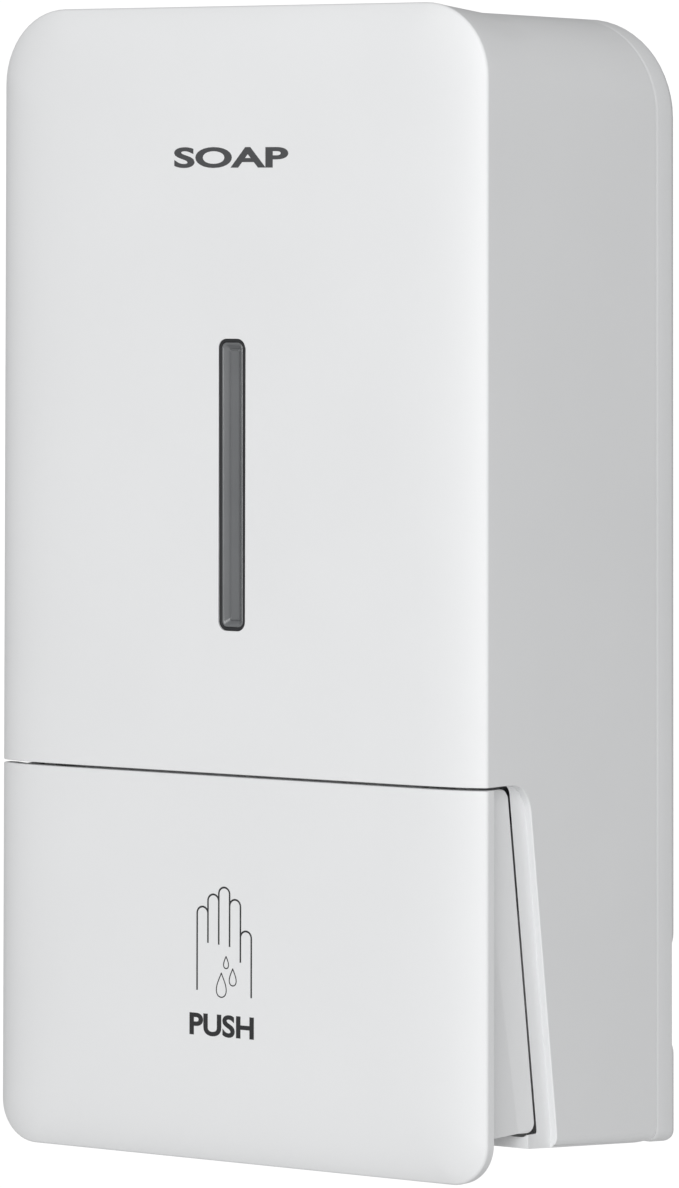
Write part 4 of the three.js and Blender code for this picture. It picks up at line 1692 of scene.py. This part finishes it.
@dataclass
class Printing:
    """The plain words and the pictogram printed on the front, as thin films of ink."""

    film: float = 0.03
    line: float = 0.2
    hand_middle: float = -74.2
    push_middle: float = -91.1
    word_middle: float = 88.8
    finger_pitch: float = 2.76
    arc_steps: int = 14

    def build(self) -> None:
        """Prints the words and the pictogram."""
        self.word("SOAP", "print_soap", (-0.35, self.word_middle), (29.2, 4.3), Body.COVER, GREY_INK)
        self.word("PUSH", "print_push", (-2.25, self.push_middle), (16.4, 4.7), Body.LEVER, DARK_INK)
        self.pictogram()

    def on_front(self, bm: BMesh) -> BMesh:
        """Lays a print drawn in the X-Z plane, a film thick, on the middle of the front.

        Args:
            bm: the print, with its back on Y = 0.

        Returns:
            The print in place.
        """
        face = SHAPE.depth + SHAPE.rise(SHAPE.outer_distances[-1])
        for vert in bm.verts:
            vert.co.y -= face
        return SHAPE.drafted(bm)

    def word(self, text: str, name: str, spot: Span, size: Span, body: Body, ink: Finish) -> None:
        """One printed word.

        Args:
            text: the word.
            name: the piece's name.
            spot: the X and Z of its middle.
            size: its length and the height of its capitals.
            body: the body that it rides on.
            ink: its ink.
        """
        curve = bpy.data.curves.new(name, "FONT")
        curve.body = text
        curve.size = 1.0
        curve.offset = 0.03
        curve.resolution_u = 6
        bm = solid_of_curve(curve)
        low = Vector([min(v.co[i] for v in bm.verts) for i in range(3)])
        high = Vector([max(v.co[i] for v in bm.verts) for i in range(3)])
        middle = (low + high) / 2
        moved(bm, Matrix.Translation(-middle))
        moved(bm, Matrix.Diagonal((size[0] / (high.x - low.x), size[1] / (high.y - low.y), 1, 1)))
        moved(bm, Matrix.Translation((spot[0], 0, spot[1])) @ Matrix.Rotation(math.radians(90), 4, "X"))
        bmesh.ops.recalc_face_normals(bm, faces=bm.faces[:])
        if bm.faces[:][0].normal.y > 0:
            bmesh.ops.reverse_faces(bm, faces=bm.faces[:])
        grown = bmesh.ops.extrude_face_region(bm, geom=bm.faces[:])["geom"]
        lifted = [v for v in grown if isinstance(v, bmesh.types.BMVert)]
        bmesh.ops.translate(bm, vec=(0, -self.film, 0), verts=lifted)
        bmesh.ops.recalc_face_normals(bm, faces=bm.faces[:])
        finished(name, self.on_front(bm), body, ink)

    def stroke(self, points: Profile, closed: bool = False, line: float | None = None) -> BMesh:
        """One line of the pictogram, as a flattened bead of ink.

        Args:
            points: its course as (x, z).
            closed: whether it ends where it starts.
            line: half its width, where it isn't the usual one.

        Returns:
            The bead.
        """
        curve = bpy.data.curves.new("ink line", "CURVE")
        curve.dimensions = "3D"
        curve.bevel_depth = line or self.line
        curve.bevel_resolution = 2
        curve.use_fill_caps = True
        course = curve.splines.new("POLY")
        course.points.add(len(points) - 1)
        course.use_cyclic_u = closed
        for point, (x, z) in zip(course.points, points):
            point.co = (x, 0, z, 1)
        bm = solid_of_curve(curve)
        return moved(bm, Matrix.Diagonal((1, 2 * self.film / self.line, 1, 1)))

    def pictogram(self) -> None:
        """An open hand with three drops of soap, in one plain line."""
        pitch = self.finger_pitch
        tips = (6.3, 9.0, 10.6, 8.2)
        feet = (-9.8, 0.2, 0.0, -0.3, -3.4)
        left = -2.5 * pitch
        strokes = []
        for i, tip in enumerate(tips):
            strokes.append(self.stroke(self.arch(left + (i + 0.5) * pitch, tip)))
        edges = [tips[0], *map(max, pairwise(tips)), tips[-1]]
        for i, (high, low) in enumerate(zip(edges, feet)):
            strokes.append(self.stroke([(left + i * pitch, low), (left + i * pitch, high)]))
        thumb = self.arch(left + 4.5 * pitch, 1.8)
        strokes.append(self.stroke([*thumb, (left + 5 * pitch, -10.6)]))
        for x, z, size in ((0.5, -3.6, 0.75), (2.2, -6.6, 1.05), (-0.7, -8.4, 1.5)):
            strokes.append(self.stroke(self.drop(x, z, size), closed=True, line=0.13))
        whole = moved(joined_meshes(strokes), Matrix.Translation((-1.65, 0, self.hand_middle)))
        finished("print_hand", self.on_front(whole), Body.LEVER, DARK_INK)

    def arch(self, x: float, z: float) -> list[tuple[float, float]]:
        """The rounded tip of a finger.

        Args:
            x: the middle across.
            z: the height that it springs from.

        Returns:
            Its points as (x, z), from left to right.
        """
        radius = self.finger_pitch / 2
        turns = [math.pi * (1 - k / self.arc_steps) for k in range(self.arc_steps + 1)]
        return [(x + radius * math.cos(a), z + radius * math.sin(a)) for a in turns]

    def drop(self, x: float, z: float, size: float) -> list[tuple[float, float]]:
        """The outline of a falling drop.

        Args:
            x: the middle across.
            z: the middle up.
            size: its half width.

        Returns:
            Its points as (x, z), from the tip round.
        """
        turns = [math.tau * i / 28 for i in range(28)]
        return [
            (x + 1.18 * size * math.sin(t) * math.sin(t / 2) ** 1.4, z + 1.7 * size * math.cos(t))
            for t in turns
        ]


# ---------------------------------------------------------------- studio


@dataclass
class Studio:
    """The floor, the soft light and the camera."""

    floor_z: float = -480.0
    floor_size: float = 2800.0
    target: Vector = field(default_factory=lambda: Vector((4.2, -42.6, -2.7)))
    distance: float = 1409.0
    azimuth: float = 35.0
    elevation: float = 3.43
    lens: float = 203.0
    sensor: float = 36.0
    sky: Span = (0.08, 0.43)
    sky_way: tuple[float, float, float] = (0.45, -0.6, 0.66)
    sky_spread: Span = (-0.6, 0.4)
    backdrop: float = 1.05
    key_size: Span = (1.4, 1.6)
    key_power: float = 24.6
    key_azimuth: float = 29.5
    key_elevation: float = 20.0
    key_distance: float = 1.9

    def build(self) -> None:
        """Builds the studio."""
        self.floor()
        self.light()
        self.camera()

    def floor(self) -> None:
        """A plain pale floor, well under the dispenser, which hangs on a wall."""
        bm = bmesh.new()
        bmesh.ops.create_grid(bm, x_segments=4, y_segments=4, size=self.floor_size / 2)
        moved(bm, Matrix.Translation((0, 0, self.floor_z)))
        floor = as_object(bm, "floor")
        floor.data.transform(Matrix.Scale(MM, 4))
        floor.data.materials.append(WHITE_BOARD.material())

    def light(self) -> None:
        """An even pale surround, and one broad soft light in front."""
        world = bpy.data.worlds.new("studio")
        bpy.context.scene.world = world
        world.use_nodes = True
        tree = world.node_tree
        tree.nodes.clear()
        seen = node(tree, "ShaderNodeLightPath").outputs["Is Camera Ray"]
        way = node(tree, "ShaderNodeTexCoord").outputs["Object"]
        facing = node(tree, "ShaderNodeVectorMath", {"operation": "DOT_PRODUCT"}, {"Vector": way})
        facing.inputs[1].default_value = self.sky_way
        dark, bright = self.sky_spread
        spread = {"From Min": dark, "From Max": bright, "To Min": self.sky[0], "To Max": self.sky[1]}
        sides = node(tree, "ShaderNodeMapRange", spread, {"Value": facing.outputs["Value"]}).outputs["Result"]
        strength = node(
            tree, "ShaderNodeMapRange", {"To Max": self.backdrop}, {"Value": seen, "To Min": sides}
        ).outputs["Result"]
        sky = node(tree, "ShaderNodeBackground", {"Color": (1, 1, 1, 1)}, {"Strength": strength})
        node(tree, "ShaderNodeOutputWorld", links={"Surface": sky.outputs["Background"]})
        lamp = bpy.data.lights.new("soft key", "AREA")
        lamp.shape = "RECTANGLE"
        lamp.size, lamp.size_y = self.key_size
        lamp.energy = self.key_power
        lit = bpy.data.objects.new("soft key", lamp)
        towards = heading(self.key_azimuth, self.key_elevation)
        lit.location = towards * self.key_distance
        lit.rotation_euler = towards.to_track_quat("Z", "Y").to_euler()
        bpy.context.scene.collection.objects.link(lit)
        log.info("studio lit")

    def camera(self) -> None:
        """The camera, from the front right and a little above the middle."""
        way = heading(self.azimuth, self.elevation)
        data = bpy.data.cameras.new("camera")
        data.lens = self.lens
        data.sensor_width = self.sensor
        camera = bpy.data.objects.new("camera", data)
        camera.location = (self.target + way * self.distance) * MM
        camera.rotation_euler = (-way).to_track_quat("-Z", "Y").to_euler()
        bpy.context.scene.collection.objects.link(camera)
        bpy.context.scene.camera = camera


def heading(azimuth: float, elevation: float) -> Vector:
    """The direction from the object to a place round it.

    Args:
        azimuth: degrees to the right, from straight in front.
        elevation: degrees up.

    Returns:
        The direction, of length 1.
    """
    turn, lift = math.radians(azimuth), math.radians(elevation)
    return Vector((math.sin(turn) * math.cos(lift), -math.cos(turn) * math.cos(lift), math.sin(lift)))


def main() -> None:
    """Builds the dispenser, its printing and the studio."""
    logging.basicConfig(level=logging.INFO, format="%(name)s: %(message)s")
    bpy.context.scene.view_settings.view_transform = "Standard"
    Studio().build()
    for assembly in (Cover(), PushPanel(), WallPlate(), Tank(), Pump(), Lock(), Printing()):
        log.info("building %s", type(assembly).__name__)
        assembly.build()


if __name__ == "__main__":
    main()
